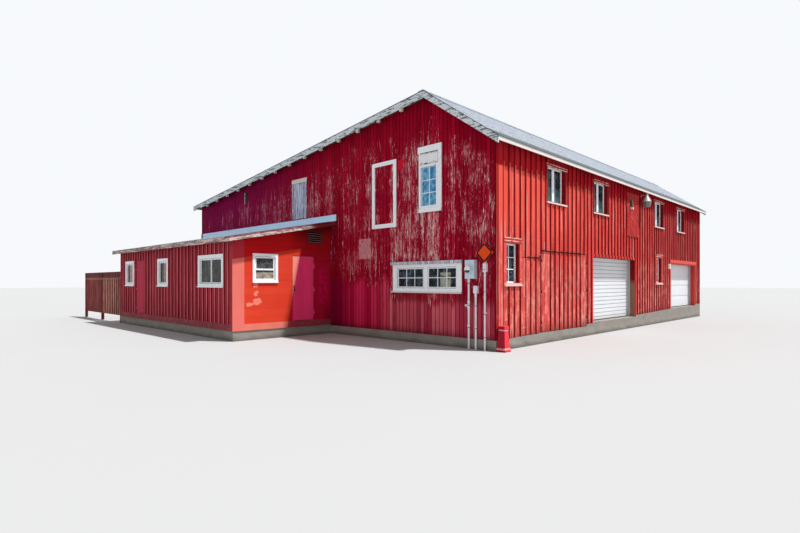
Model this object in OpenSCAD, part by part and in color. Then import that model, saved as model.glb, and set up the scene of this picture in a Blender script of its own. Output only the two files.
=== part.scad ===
/* [Barn] */
// Width of the barn across its front gable
barn_w = 16050; // [14500:10:19000]
// Length of the barn along its garage side
barn_l = 17960; // [17500:10:22000]
// Thickness of the barn's walls
wall_t = 260; // [200:5:320]
// Height of the foundation's top at the front gable, above the lowest ground
front_sill = 260; // [200:5:280]
// Height of the foundation's top at the rear gable, above the lowest ground
rear_sill = 630; // [450:5:700]
// How far the foundation stands proud of the walls
foundation_proud = 30; // [15:1:60]
// Height of the ground floor's top
floor_z = 300; // [280:5:330]
// Thickness of the ground floor slab
floor_t = 150; // [100:5:180]
// Height of the loft floor's top
loft_z = 3150; // [3120:5:3350]
// Thickness of the loft floor with its joists
loft_t = 240; // [180:5:250]
// Width of the loft posts and beams
post_w = 200; // [150:5:260]
// Depth of the loft beams
beam_h = 280; // [200:5:300]
// Distance of each row of loft posts from the middle of the barn
post_row_x = 2600; // [2000:10:3000]

/* [Roof] */
// Height of the ridge
ridge_z = 6880; // [6500:10:7800]
// Height of both eaves at the roof's top
eave_z = 5200; // [5160:5:5400]
// Distance of the ridge from the garage side wall
ridge_from_right = 2135; // [1800:5:4000]
// Overhang past the garage side wall
over_right = 245; // [180:5:350]
// Overhang past the left side wall
over_left = 415; // [250:5:500]
// Overhang past both gables
over_gable = 260; // [200:5:350]
// Thickness of the roof's boards and rafters
deck_t = 90; // [80:5:120]
// Thickness of the roof's sheet metal with its ribs
metal_t = 20; // [15:1:25]
// How far the sheet metal runs past the boards
metal_drip = 15; // [8:1:30]
// Depth of the barge boards
barge_h = 180; // [150:5:220]
// Thickness of barge boards and fascias
board_t = 25; // [18:1:32]
// Depth of the eave fascias
fascia_h = 95; // [85:5:120]
// Spacing of the purlin ends under the gable overhangs
purlin_pitch = 935; // [800:5:1200]
// Width of a purlin end
purlin_w = 90; // [60:5:120]
// Depth of a purlin end
purlin_h = 140; // [110:5:160]
// Width of each leg of the ridge cap
cap_w = 190; // [120:5:260]

/* [Garage side] */
// Distance of the walk door's opening from the front corner
walk_y = 1170; // [1120:5:1180]
// Width of the walk door's opening
walk_w = 870; // [800:5:900]
// Height of the walk door opening's head
walk_top = 2350; // [2250:5:2450]
// Height of the walk door's threshold
walk_sill = 285; // [280:1:300]
// Distance of the barn doors' opening from the front corner
barn_door_y = 2210; // [2180:5:2250]
// Width of the barn doors' opening
barn_door_w = 2850; // [2600:5:2900]
// Height of the barn door opening's head
barn_door_top = 2560; // [2400:5:2650]
// Height of the barn doors' threshold
barn_door_sill = 300; // [290:1:320]
// Distance of the first garage door's opening from the front corner
garage_1_y = 5500; // [5350:5:5600]
// Width of the first garage door's opening
garage_1_w = 3780; // [3500:5:4000]
// Height of the first garage opening's head
garage_1_top = 2530; // [2400:5:2600]
// Height of the first garage door's threshold
garage_1_sill = 400; // [360:5:440]
// Distance of the second garage door's opening from the rear corner
garage_2_rear = 780; // [600:5:900]
// Width of the second garage door's opening
garage_2_w = 3760; // [3500:5:4000]
// Height of the second garage opening's head
garage_2_top = 2500; // [2400:5:2600]
// Height of the second garage door's threshold
garage_2_sill = 550; // [500:5:600]
// Thickness of a garage door's sections
garage_door_t = 45; // [35:1:60]
// Overlap of a garage door on the wall beside and over its opening
garage_lap = 40; // [30:5:60]
// Width of the boards that line the garage openings
lining_t = 24; // [18:1:32]

/* [Doors and hinges] */
// Thickness of a hinged door leaf
leaf_t = 50; // [40:1:60]
// Gap between a leaf and its jamb on the hinge side
hinge_gap = 6; // [5:0.5:8]
// Gap between a leaf's free edge and what it meets
free_gap = 9; // [8.5:0.5:12]
// Gap over and under a leaf
leaf_gap = 10; // [8:0.5:15]
// Radius of a hinge pin
pin_r = 8; // [6:0.5:9]
// Radius of a hinge barrel
barrel_r = 12; // [11:0.5:12]
// Length of a hinge barrel
barrel_h = 90; // [60:5:120]
// Distance of a hinge pin's centre from the wall's face
pin_out = 18; // [17.5:0.5:19]
// Radial clearance of a hinge pin in its barrel
pin_clear = 0.05; // [0.02:0.01:0.1]
// Gap between a leaf's barrel and the knuckle under it
knuckle_gap = 0.3; // [0.2:0.1:0.5]
// Length of a strap on a door leaf
strap_l = 420; // [250:5:500]
// Width of a strap
strap_h = 44; // [30:2:60]
// Thickness of a strap
strap_t = 8; // [7:0.5:10]

/* [Windows] */
// How far window casings stand proud of the boards
casing_out = 32; // [25:1:45]
// Thickness of the boards that line a window's reveal
liner_t = 22; // [15:1:28]
// Width of a sash's edge
sash_w = 42; // [30:1:55]
// Thickness of a sash
sash_t = 38; // [30:1:45]
// Thickness of the glass
glass_t = 6; // [4:1:10]
// How far a window's sill reaches past its casing
sill_out = 26; // [15:1:40]
// Thickness of a window's sill
sill_t = 40; // [30:1:50]
// Depth of the sashes in the barn's side walls
side_reveal = 110; // [90:5:140]
// Depth of the sashes in the gable walls and the lean-to
front_reveal = 14; // [10:1:40]
// Width of an upper window's opening in the side walls
upper_w = 1120; // [1000:5:1180]
// Height of an upper window's opening in the side walls
upper_h = 1050; // [900:5:1080]
// Height of the upper windows' openings above the lowest ground
upper_z = 3950; // [3850:5:3970]
// Width of a lower window's opening in the side walls
lower_w = 670; // [600:5:700]
// Height of a lower window's opening in the side walls
lower_h = 1050; // [900:5:1080]
// Height of the lower windows' openings above the lowest ground
lower_z = 1650; // [1560:5:1700]
// Width of the ribbon window's opening in the front gable
ribbon_w = 2220; // [2100:10:2300]
// Height of the ribbon window's opening
ribbon_h = 615; // [560:5:680]
// Width of the upper window's opening in the front gable
gable_window_w = 600; // [540:5:640]
// Height of the upper window's opening in the front gable
gable_window_h = 1120; // [1020:5:1160]
// Width of the loft door in the front gable
loft_door_w = 760; // [700:5:860]
// Height of the loft door in the front gable
loft_door_h = 1265; // [1200:5:1320]

/* [Lean-to] */
// Width of the lean-to along the gable, from the barn's left corner
lean_w = 9572; // [9200:5:9900]
// Depth of the lean-to in front of the gable
lean_d = 3497; // [3400:5:4000]
// Thickness of the lean-to's walls
lean_wall_t = 140; // [110:5:170]
// Height of the lean-to's foundation
lean_sill = 480; // [440:5:500]
// Height of the lean-to roof's top at the gable
lean_high_z = 3700; // [3650:5:3800]
// Height of the lean-to roof's top at its eave
lean_low_z = 2960; // [2940:5:3050]
// Thickness of the lean-to's roof
lean_roof_t = 100; // [80:5:115]
// Overhang of the lean-to's eave
lean_over_front = 260; // [200:5:350]
// Overhang of the lean-to's roof past its side wall
lean_over_side = 310; // [200:5:350]
// Overhang of the lean-to's roof past its left wall
lean_over_left = 200; // [150:5:300]
// Depth of the lean-to's fascia boards
lean_fascia_h = 130; // [120:5:160]
// Height of the skirt board round the foot of the lean-to
skirt_h = 190; // [120:5:230]
// Width of the lean-to's corner board on its side wall
corner_board_w = 340; // [200:5:360]
// Height of the flashing up the gable over the lean-to roof
flashing_h = 220; // [150:5:280]
// Width of the lean-to's front door opening
front_door_w = 780; // [700:5:850]
// Height of the head of the lean-to's front door opening
front_door_top = 2530; // [2400:5:2560]
// Width of the lean-to's side door opening
side_door_w = 820; // [750:5:880]
// Height of the head of the lean-to's side door opening
side_door_top = 2520; // [2400:5:2560]
// Distance of the side door's opening from the gable
side_door_from_gable = 700; // [650:5:760]

/* [Fittings] */
// Width of the two-light window in the lean-to's front wall
double_window_w = 1490; // [1400:5:1550]
// Height of the lean-to's front windows
lean_window_h = 810; // [700:5:860]
// Height of the openings of the lean-to's front windows
lean_window_z = 1620; // [1560:5:1660]
// Width of the single windows in the lean-to's front wall
lean_window_w = 770; // [700:5:820]
// Width of the electric meter's box
meter_w = 280; // [250:5:320]
// Radius of a conduit
conduit_r = 27; // [20:1:32]
// Edge length of the diamond sign
sign_w = 375; // [340:5:420]
// Height of the diamond sign's centre
sign_z = 2420; // [2350:5:2500]
// Height of the corner bollard
bollard_h = 620; // [560:5:680]
// Width of the bollard's foot
bollard_w = 260; // [220:5:300]

/* [Fence] */
// Height of the fence beside the lean-to
fence_h = 2130; // [1900:10:2300]
// Length of one fence bay between its posts
fence_bay = 2450; // [2200:10:2700]
// Width of a fence post
fence_post_w = 100; // [80:5:120]
// Width of a picket
picket_w = 62; // [45:1:80]
// Gap between pickets
picket_gap = 58; // [40:1:80]

/* [Hidden] */
$fn = 48;
through = 5;
// Gap at the sloping seats of walls, decks, sheets and boards
seat = 0.3;
half_w = barn_w / 2;
ridge_x = half_w - ridge_from_right;
eave_right = half_w + over_right;
eave_left = -half_w - over_left;
slope_right = (ridge_z - eave_z) / (eave_right - ridge_x);
slope_left = (ridge_z - eave_z) / (ridge_x - eave_left);
lean_x = -half_w + lean_w;
lean_slope = (lean_high_z - lean_low_z) / (lean_d + lean_over_front);
garage_2_y = barn_l - garage_2_rear - garage_2_w;

function roof_top(x) =
    x > ridge_x ? ridge_z - (x - ridge_x) * slope_right : ridge_z - (ridge_x - x) * slope_left;
function deck_top(x) = roof_top(x) - metal_t - seat;
function deck_under(x) = deck_top(x) - deck_t;
// Height of the foundation: level under both gable walls, rising between them
function sill_at(y) = y < wall_t ? front_sill : y > barn_l - wall_t ? rear_sill :
    front_sill + (rear_sill - front_sill) * (y - wall_t) / (barn_l - 2 * wall_t);
function lean_top(y) = lean_high_z + y * lean_slope;
function lean_under(y) = lean_top(y) - lean_roof_t;
function lean_wall_top(y) = lean_under(y) - seat;

right_wall_top = deck_under(half_w) - seat;
left_wall_top = deck_under(-half_w) - seat;

// Openings of the garage side: start, width, threshold and head
walk_opening = [walk_y, walk_w, walk_sill, walk_top];
barn_door_opening = [barn_door_y, barn_door_w, barn_door_sill, barn_door_top];
garage_1_opening = [garage_1_y, garage_1_w, garage_1_sill, garage_1_top];
garage_2_opening = [garage_2_y, garage_2_w, garage_2_sill, garage_2_top];
right_openings = [walk_opening, barn_door_opening, garage_1_opening, garage_2_opening];

// Windows: place along the wall, height, width, height of the opening, lights side by side,
// casing widths left, right, below and above
upper_casing = [40, 40, 40, 40];
lower_casing = [70, 70, 60, 110];
gable_casing = [35, 175, 145, 515];
ribbon_casing = [125, 155, 95, 100];
lean_casing = [90, 90, 90, 90];
function upper_window(y) = [y - upper_w / 2, upper_z, upper_w, upper_h, 2, upper_casing];
function lower_window(y) = [y - lower_w / 2, lower_z, lower_w, lower_h, 1, lower_casing];

ribbon_from_right = 1175;
gable_window_from_right = 1860;
ribbon_z = 1505;
gable_window_z = 3765;
ribbon_edge = 60;
gable_edge = 36;
front_windows = [
    [half_w - ribbon_from_right - ribbon_w, ribbon_z, ribbon_w, ribbon_h, 2, ribbon_casing,
     ribbon_edge],
    [half_w - gable_window_from_right - gable_window_w, gable_window_z, gable_window_w,
     gable_window_h, 1, gable_casing, gable_edge]];
ribbon_mullion = 210;

first_lower_y = 750;
narrow_before_garage_2 = 1485;
upper_1_from_door = 870;
upper_2_from_garage = 640;
upper_3_before_garage_2 = 1505;
upper_4_from_garage_2 = 1420;
narrow_y = garage_2_y - narrow_before_garage_2;
right_windows = [
    lower_window(first_lower_y),
    lower_window(narrow_y),
    upper_window(barn_door_y + upper_1_from_door),
    upper_window(garage_1_y + upper_2_from_garage),
    upper_window(garage_2_y - upper_3_before_garage_2),
    upper_window(garage_2_y + upper_4_from_garage_2)];

left_bays = 4;
left_windows = concat(
    [for (i = [0:left_bays - 1]) upper_window(barn_l * (i + 0.5) / left_bays)],
    [for (i = [0:left_bays - 1]) lower_window(barn_l * (i + 0.5) / left_bays)]);
rear_bays = 3;
rear_windows = concat(
    [for (i = [0:rear_bays - 1]) upper_window(barn_w * (i + 0.5) / rear_bays)],
    [for (i = [0:rear_bays - 1]) lower_window(barn_w * (i + 0.5) / rear_bays)]);

double_window_x = -570;
middle_window_x = -3890;
left_window_from_end = 770;
front_door_from_end = 1900;
lean_front_windows = [
    [double_window_x, lean_window_z, double_window_w, lean_window_h, 2, lean_casing],
    [middle_window_x, lean_window_z, lean_window_w, lean_window_h, 1, lean_casing],
    [-half_w + left_window_from_end, lean_window_z, lean_window_w, lean_window_h, 1, lean_casing]];
side_window_y = -2830;
side_window_z = 1730;
side_window_w = 730;
side_window_h = 750;
lean_side_windows = [
    [side_window_y, side_window_z, side_window_w, side_window_h, 1, [58, 58, 60, 60]]];
front_door_x = -half_w + front_door_from_end;
side_door_y = -side_door_from_gable - side_door_w;

red = "firebrick";
dark_red = "darkred";
white = "whitesmoke";
concrete = "darkgray";
metal = "silver";
timber = "burlywood";

// A box between two values on each axis
module block(x, y, z) {
    translate([x[0], y[0], z[0]]) cube([x[1] - x[0], y[1] - y[0], z[1] - z[0]]);
}

// An outline of x and z values, extruded between two values of y
module across(points, y) {
    translate([0, y[1], 0]) rotate([90, 0, 0]) linear_extrude(y[1] - y[0]) polygon(points);
}

// An outline of y and z values, extruded between two values of x
module along(points, x) {
    translate([x[0], 0, 0]) rotate([90, 0, 90]) linear_extrude(x[1] - x[0]) polygon(points);
}

// Each wall has its own frame: x to the right as seen from outside, y into the wall
module on_right(y = 0) { translate([half_w, y, 0]) rotate([0, 0, 90]) children(); }
module on_left() { translate([-half_w, barn_l, 0]) rotate([0, 0, -90]) children(); }
module on_rear() { translate([half_w, barn_l, 0]) rotate([0, 0, 180]) children(); }
module on_lean_front(x = 0) { translate([x, -lean_d, 0]) children(); }
module on_lean_side(y = 0) { translate([lean_x, y, 0]) rotate([0, 0, 90]) children(); }

// The holes that a list of windows leaves in a wall
module window_holes(windows, thickness) {
    for (w = windows)
        block([w[0], w[0] + w[2]], [-through, thickness + through], [w[1], w[1] + w[3]]);
}

// The clear lights of one window, side by side between its edges
function light_x(w, edge, mullion, i) =
    let (n = w[4], width = (w[2] - 2 * edge - (n - 1) * mullion) / n)
    [w[0] + edge + i * (width + mullion), w[0] + edge + i * (width + mullion) + width];

module lights(w, edge, mullion, y) {
    for (i = [0:w[4] - 1])
        block(light_x(w, edge, mullion, i), y, [w[1] + edge, w[1] + w[3] - edge]);
}

// One window: casing on the boards, lined reveal, sash edge and sill
module window_frame(w, reveal, edge, mullion) {
    c = w[5];
    x = [w[0], w[0] + w[2]];
    z = [w[1], w[1] + w[3]];
    difference() {
        union() {
            block([x[0] - c[0], x[1] + c[1]], [-casing_out, 0], [z[0] - c[2], z[1] + c[3]]);
            block(x, [-casing_out, reveal + sash_t], z);
            block([x[0] - c[0], x[1] + c[1]], [-casing_out - sill_out, 0],
                [z[0] - c[2], z[0] - c[2] + sill_t]);
        }
        block([x[0] + liner_t, x[1] - liner_t], [-casing_out - sill_out - through, reveal],
            [z[0] + liner_t, z[1] - liner_t]);
        lights(w, edge, mullion, [0, reveal + sash_t + through]);
    }
}

module glass_pane(w, reveal, edge, mullion) {
    middle = reveal + sash_t / 2;
    lights(w, edge, mullion, [middle - glass_t / 2, middle + glass_t / 2]);
}

side_edge = liner_t + sash_w;
side_mullion = 70;

// Foundation: a concrete ring whose top follows the rising ground, cut down at each threshold
function foundation_outline(openings) =
    let (p = foundation_proud)
    concat([[-p, 0], [barn_l + p, 0], [barn_l + p, rear_sill], [barn_l - wall_t, rear_sill]],
        [for (i = [len(openings) - 1:-1:0])
            let (o = openings[i], a = o[0], b = o[0] + o[1])
            for (q = [[b, sill_at(b)], [b, o[2]], [a, o[2]], [a, sill_at(a)]]) q],
        [[wall_t, front_sill], [-p, front_sill]]);

module barn_foundation() {
    p = foundation_proud;
    inner = half_w - wall_t;
    color(concrete) {
        block([-half_w - p, half_w + p], [-p, wall_t], [0, front_sill]);
        block([-half_w - p, half_w + p], [barn_l - wall_t, barn_l + p], [0, rear_sill]);
        along(foundation_outline([]), [-half_w - p, -inner]);
        along(foundation_outline(right_openings), [inner, half_w + p]);
        for (o = [garage_1_opening, garage_2_opening])
            block([inner - garage_door_t - 2 * lining_t, inner],
                [o[0] - garage_lap, o[0] + o[1] + garage_lap], [floor_z, o[2]]);
    }
}

module ground_floor() {
    color(concrete)
        block([-half_w + wall_t, half_w - wall_t], [wall_t, barn_l - wall_t],
            [floor_z - floor_t, floor_z]);
}

loft_under = loft_z - loft_t;
post_rows = 3;

module loft_posts() {
    color(timber)
        for (side = [-1, 1], i = [1:post_rows])
            translate([side * post_row_x, barn_l * i / (post_rows + 1), 0])
                block([-post_w / 2, post_w / 2], [-post_w / 2, post_w / 2],
                    [floor_z, loft_under - beam_h]);
}

module loft_beams() {
    color(timber)
        for (side = [-1, 1])
            translate([side * post_row_x, 0, 0])
                block([-post_w / 2, post_w / 2], [wall_t, barn_l - wall_t],
                    [loft_under - beam_h, loft_under]);
}

module loft_floor() {
    color(timber)
        block([-half_w + wall_t, half_w - wall_t], [wall_t, barn_l - wall_t],
            [loft_under, loft_z]);
}

// Gable wall outline under the uneven roof
function gable_outline(sill) = [
    [-half_w, sill], [half_w, sill], [half_w, right_wall_top],
    [ridge_x, deck_under(ridge_x) - seat], [-half_w, left_wall_top]];

loft_door_x = -610;
loft_door_z = 3950;
loft_head_h = 165;
slot_x = -4120;
slot_w = 240;
slot_z = 4900;
slot_h = 480;

module front_gable_wall() {
    color(red) difference() {
        across(gable_outline(front_sill), [0, wall_t]);
        window_holes(front_windows, wall_t);
        block([loft_door_x, loft_door_x + loft_door_w], [-through, wall_t + through],
            [loft_door_z, loft_door_z + loft_door_h]);
        block([slot_x, slot_x + slot_w], [-through, wall_t + through],
            [slot_z, slot_z + slot_h]);
    }
}

module rear_gable_wall() {
    color(red) difference() {
        across(gable_outline(rear_sill), [barn_l - wall_t, barn_l]);
        on_rear() window_holes(rear_windows, wall_t);
    }
}

// A stretch of side wall whose foot follows the foundation
module side_stretch(a, b, top, x) {
    along([[a, sill_at(a) + seat], [b, sill_at(b) + seat], [b, top], [a, top]], x);
}

module left_wall() {
    color(red) difference() {
        side_stretch(wall_t, barn_l - wall_t, left_wall_top, [-half_w, -half_w + wall_t]);
        on_left() window_holes(left_windows, wall_t);
    }
}

pier_ends = concat([wall_t], [for (o = right_openings) for (e = [o[0], o[0] + o[1]]) e],
    [barn_l - wall_t]);

module right_wall_piers() {
    color(red) difference() {
        for (i = [0:2:len(pier_ends) - 2])
            side_stretch(pier_ends[i], pier_ends[i + 1], right_wall_top,
                [half_w - wall_t, half_w]);
        on_right() window_holes(right_windows, wall_t);
    }
}

module right_wall_over_doors() {
    color(red) difference() {
        for (o = right_openings)
            block([half_w - wall_t, half_w], [o[0], o[0] + o[1]], [o[3], right_wall_top]);
        on_right() window_holes(right_windows, wall_t);
    }
}

// Roof: two decks that meet under the ridge, one sheet metal skin and its cap
deck_y = [-over_gable + board_t, barn_l + over_gable - board_t];
metal_y = [-over_gable - metal_drip, barn_l + over_gable + metal_drip];

module roof_deck(x0, x1) {
    across([[x0, deck_under(x0)], [x1, deck_under(x1)], [x1, deck_top(x1)],
        [x0, deck_top(x0)]], deck_y);
}

module roof_deck_left() { color(timber) roof_deck(eave_left + board_t, ridge_x); }

module roof_deck_right() { color(timber) roof_deck(ridge_x, eave_right - board_t); }

// A sheet that follows both slopes between two distances from the roof's top line
module chevron(x0, x1, low, high, y) {
    across([[x0, roof_top(x0) + low], [ridge_x, ridge_z + low], [x1, roof_top(x1) + low],
        [x1, roof_top(x1) + high], [ridge_x, ridge_z + high], [x0, roof_top(x0) + high]], y);
}

module roof_metal() {
    color(metal)
        chevron(eave_left - metal_drip, eave_right + metal_drip, -metal_t, 0, metal_y);
}

cap_t = 14;

module ridge_cap() {
    color(metal) chevron(ridge_x - cap_w, ridge_x + cap_w, seat, cap_t, metal_y);
}

module barge_boards() {
    color(white) for (y = [-over_gable, barn_l + over_gable - board_t])
        chevron(eave_left, eave_right, -metal_t - barge_h, -metal_t - seat, [y, y + board_t]);
}

module eave_fascias() {
    color(white) for (x = [eave_left, eave_right - board_t]) {
        top = min(deck_top(x), deck_top(x + board_t));
        block([x, x + board_t], deck_y, [top - fascia_h, top]);
    }
}

purlins = floor((ridge_x + half_w) / purlin_pitch);

module purlin_end(x, y) {
    across([[x, deck_under(x) - purlin_h], [x + purlin_w, deck_under(x + purlin_w) - purlin_h],
        [x + purlin_w, deck_under(x + purlin_w) - seat], [x, deck_under(x) - seat]], y);
}

module purlin_ends() {
    color(white) for (i = [1:purlins]) {
        x = ridge_x - i * purlin_pitch;
        purlin_end(x, [deck_y[0], 0]);
        purlin_end(x, [barn_l, deck_y[1]]);
    }
}

module front_window_frames() {
    color(white) for (w = front_windows)
        window_frame(w, front_reveal, w[6], ribbon_mullion);
}

module right_window_frames() {
    color(white) on_right() for (w = right_windows)
        window_frame(w, side_reveal, side_edge, side_mullion);
}

module left_window_frames() {
    color(white) on_left() for (w = left_windows)
        window_frame(w, side_reveal, side_edge, side_mullion);
}

module rear_window_frames() {
    color(white) on_rear() for (w = rear_windows)
        window_frame(w, side_reveal, side_edge, side_mullion);
}

module barn_window_glass() {
    color("lightblue") {
        for (w = front_windows) glass_pane(w, front_reveal, w[6], ribbon_mullion);
        on_right() for (w = right_windows) glass_pane(w, side_reveal, side_edge, side_mullion);
        on_left() for (w = left_windows) glass_pane(w, side_reveal, side_edge, side_mullion);
        on_rear() for (w = rear_windows) glass_pane(w, side_reveal, side_edge, side_mullion);
    }
}

// White frame on the gable with no window in it
blank_from_right = 3395;
blank_w = 1030;
blank_z = 3300;
blank_h = 1970;
blank_edge = 120;

module blank_frame() {
    x1 = half_w - blank_from_right;
    color(white) difference() {
        block([x1 - blank_w, x1], [-casing_out, 0], [blank_z, blank_z + blank_h]);
        block([x1 - blank_w + blank_edge, x1 - blank_edge], [-casing_out - through, through],
            [blank_z + blank_edge, blank_z + blank_h - blank_edge]);
    }
}

module loft_door() {
    x = [loft_door_x, loft_door_x + loft_door_w];
    color("tan") {
        block(x, [-casing_out / 2, leaf_t], [loft_door_z, loft_door_z + loft_door_h]);
        block([x[0] - sill_out, x[1] + sill_out], [-casing_out, 0],
            [loft_door_z + loft_door_h, loft_door_z + loft_door_h + loft_head_h]);
    }
}

patch_w = 1170;
patch_z = 3370;
patch_h = 1590;
patch_t = 40;
lamp_from_garage_2 = 3610;
lamp_y = garage_2_y - lamp_from_garage_2;
// The patch's place in the free wall between the second window and the lamp
patch_share = 0.874;
upper_2_end = garage_1_y + upper_2_from_garage + upper_w / 2 + upper_casing[1];
patch_y = upper_2_end + (lamp_y - upper_2_end - patch_w) * patch_share;

module plywood_patch() {
    color(red) on_right(patch_y)
        block([0, patch_w], [-patch_t, 0], [patch_z, patch_z + patch_h]);
}

// Boards that line a garage opening, with a casing on the outside
module garage_frame(o) {
    w = o[1];
    side = lining_t * 2;
    difference() {
        union() {
            block([-side, w + side], [-casing_out, 0], [o[2], o[3] + lining_t * 3]);
            block([0, w], [-casing_out, wall_t], [o[2], o[3]]);
        }
        block([lining_t, w - lining_t], [-casing_out - through, wall_t + through],
            [o[2] - through, o[3] - lining_t]);
        for (x = [[-side - through, 0], [w, w + side + through]])
            block(x, [-casing_out - through, 0],
                [o[2] - through, max(o[2], sill_at(o[0] + x[1])) + seat]);
    }
}

module garage_frames() {
    color(white) for (o = [garage_1_opening, garage_2_opening])
        on_right(o[0]) garage_frame(o);
}

// First garage door: close horizontal ribs, rolled into every section
rib_pitch = 133;
rib_depth = 9;

module garage_door_1() {
    o = garage_1_opening;
    z1 = o[3] + garage_lap;
    ribs = floor((z1 - o[2]) / rib_pitch);
    color(white) on_right(o[0]) along(concat(
        [[wall_t + garage_door_t, o[2]]],
        [for (i = [0:ribs - 1])
            let (z = o[2] + i * rib_pitch)
            for (q = [[wall_t, z], [wall_t, z + rib_pitch * 0.80],
                [wall_t + rib_depth, z + rib_pitch * 0.84],
                [wall_t + rib_depth, z + rib_pitch * 0.97]]) q],
        [[wall_t, o[2] + ribs * rib_pitch], [wall_t, z1], [wall_t + garage_door_t, z1]]),
        [-garage_lap, o[1] + garage_lap]);
}

// Second garage door: four sections, each with one long raised panel
sections = 4;
panels = 1;
panel_edge = 70;
panel_out = 12;

module garage_door_2() {
    o = garage_2_opening;
    section_h = (o[3] - o[2]) / sections;
    panel_w = (o[1] - 2 * lining_t) / panels;
    color(white) on_right(o[0]) {
        block([-garage_lap, o[1] + garage_lap], [wall_t, wall_t + garage_door_t],
            [o[2], o[3] + garage_lap]);
        for (s = [0:sections - 1], p = [0:panels - 1])
            translate([lining_t + p * panel_w, wall_t, o[2] + s * section_h])
                block([panel_edge / 2, panel_w - panel_edge / 2], [-panel_out, through],
                    [panel_edge / 2, section_h - panel_edge]);
    }
}

// Hinged leaf in the frame of its hinge pin: pin at x = 0, leaf to the right
module hinged_leaf(width, low, high, hinge_heights) {
    difference() {
        union() {
            block([hinge_gap / 2, hinge_gap / 2 + width], [0, leaf_t], [low, high]);
            for (z = hinge_heights) {
                block([0, strap_l], [-strap_t, 0], [z, z + strap_h]);
                translate([0, -pin_out, z - (barrel_h - strap_h) / 2])
                    cylinder(r = barrel_r, h = barrel_h);
            }
        }
        for (z = hinge_heights)
            translate([0, -pin_out, z - barrel_h])
                cylinder(r = pin_r + pin_clear, h = 3 * barrel_h);
    }
}

// What the jamb holds of a hinge: knuckle and pin
module hinge_pin(z) {
    foot = z - (barrel_h - strap_h) / 2 - knuckle_gap;
    block([-barrel_r, -hinge_gap / 2], [-pin_out, 0], [foot - barrel_h / 2, foot]);
    translate([0, -pin_out, foot - barrel_h / 2]) {
        cylinder(r = barrel_r, h = barrel_h / 2);
        cylinder(r = pin_r, h = barrel_h * 1.5 + 2 * knuckle_gap);
    }
}

hinge_inset = 260;
function hinge_heights(low, high, n) =
    [for (i = [0:n - 1]) low + hinge_inset + i * (high - low - 2 * hinge_inset - strap_h) / (n - 1)];

barn_leaf_w = (barn_door_w - hinge_gap - free_gap) / 2;
walk_hinges = hinge_heights(walk_sill, walk_top, 3);
barn_hinges = hinge_heights(barn_door_sill, barn_door_top, 3);
front_door_hinges = hinge_heights(lean_sill, front_door_top, 3);
side_door_hinges = hinge_heights(lean_sill, side_door_top, 3);

module walk_door() {
    color(red) on_right(walk_y + hinge_gap / 2)
        hinged_leaf(walk_w - hinge_gap - free_gap, walk_sill + leaf_gap, walk_top - leaf_gap,
            walk_hinges);
}

module barn_door_left() {
    color(red) on_right(barn_door_y + hinge_gap / 2)
        hinged_leaf(barn_leaf_w, barn_door_sill + leaf_gap, barn_door_top - leaf_gap,
            barn_hinges);
}

module barn_door_right() {
    color(red) on_right(barn_door_y + barn_door_w - hinge_gap / 2) mirror([1, 0, 0])
        hinged_leaf(barn_leaf_w, barn_door_sill + leaf_gap, barn_door_top - leaf_gap,
            barn_hinges);
}

module lean_to_front_door() {
    color(red) on_lean_front(front_door_x + hinge_gap / 2)
        hinged_leaf(front_door_w - hinge_gap - free_gap, lean_sill + leaf_gap,
            front_door_top - leaf_gap, front_door_hinges);
}

module lean_to_side_door() {
    color(dark_red) on_lean_side(side_door_y + side_door_w - hinge_gap / 2) mirror([1, 0, 0])
        hinged_leaf(side_door_w - hinge_gap - free_gap, lean_sill + leaf_gap,
            side_door_top - leaf_gap, side_door_hinges);
}

module hinge_pins() {
    color("dimgray") {
        on_right(walk_y + hinge_gap / 2) for (z = walk_hinges) hinge_pin(z);
        on_right(barn_door_y + hinge_gap / 2) for (z = barn_hinges) hinge_pin(z);
        on_right(barn_door_y + barn_door_w - hinge_gap / 2) mirror([1, 0, 0])
            for (z = barn_hinges) hinge_pin(z);
        on_lean_front(front_door_x + hinge_gap / 2)
            for (z = front_door_hinges) hinge_pin(z);
        on_lean_side(side_door_y + side_door_w - hinge_gap / 2) mirror([1, 0, 0])
            for (z = side_door_hinges) hinge_pin(z);
    }
}

// Fittings on the gable near the garage side corner
meter_from_right = 825;
meter_z = 1780;
meter_h = 470;
meter_d = 150;
meter_r = 95;
conduit_out = 60;
conduit_from_right = 767;
short_pipe_from_right = 551;
short_pipe_top = 1410;
junction_z = 1060;
junction_w = 95;
junction_h = 65;
head_box_w = 120;
head_box_h = 190;

module meter_box() {
    x0 = half_w - meter_from_right;
    color("lightgray") {
        block([x0, x0 + meter_w], [-meter_d, 0], [meter_z, meter_z + meter_h]);
        translate([x0 + meter_w / 2, -meter_d + through, meter_z + meter_h / 2])
            rotate([90, 0, 0]) cylinder(r = meter_r, h = meter_r);
    }
}

module conduits() {
    x0 = half_w - conduit_from_right;
    x1 = half_w - short_pipe_from_right;
    color("lightgray") {
        translate([x0, -conduit_out, 0]) cylinder(r = conduit_r, h = meter_z);
        block([x0 - conduit_r - junction_w, x0], [-conduit_out, 0],
            [junction_z, junction_z + junction_h]);
        translate([x1, -conduit_out, 0]) cylinder(r = conduit_r, h = short_pipe_top);
        block([x1 - head_box_w / 2, x1 + head_box_w / 2], [-conduit_out - conduit_r, 0],
            [short_pipe_top, short_pipe_top + head_box_h]);
    }
}

sign_from_right = 270;
sign_post_w = 50;
sign_post_out = 95;
sign_t = 4;
sign_bracket_h = 215;

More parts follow.
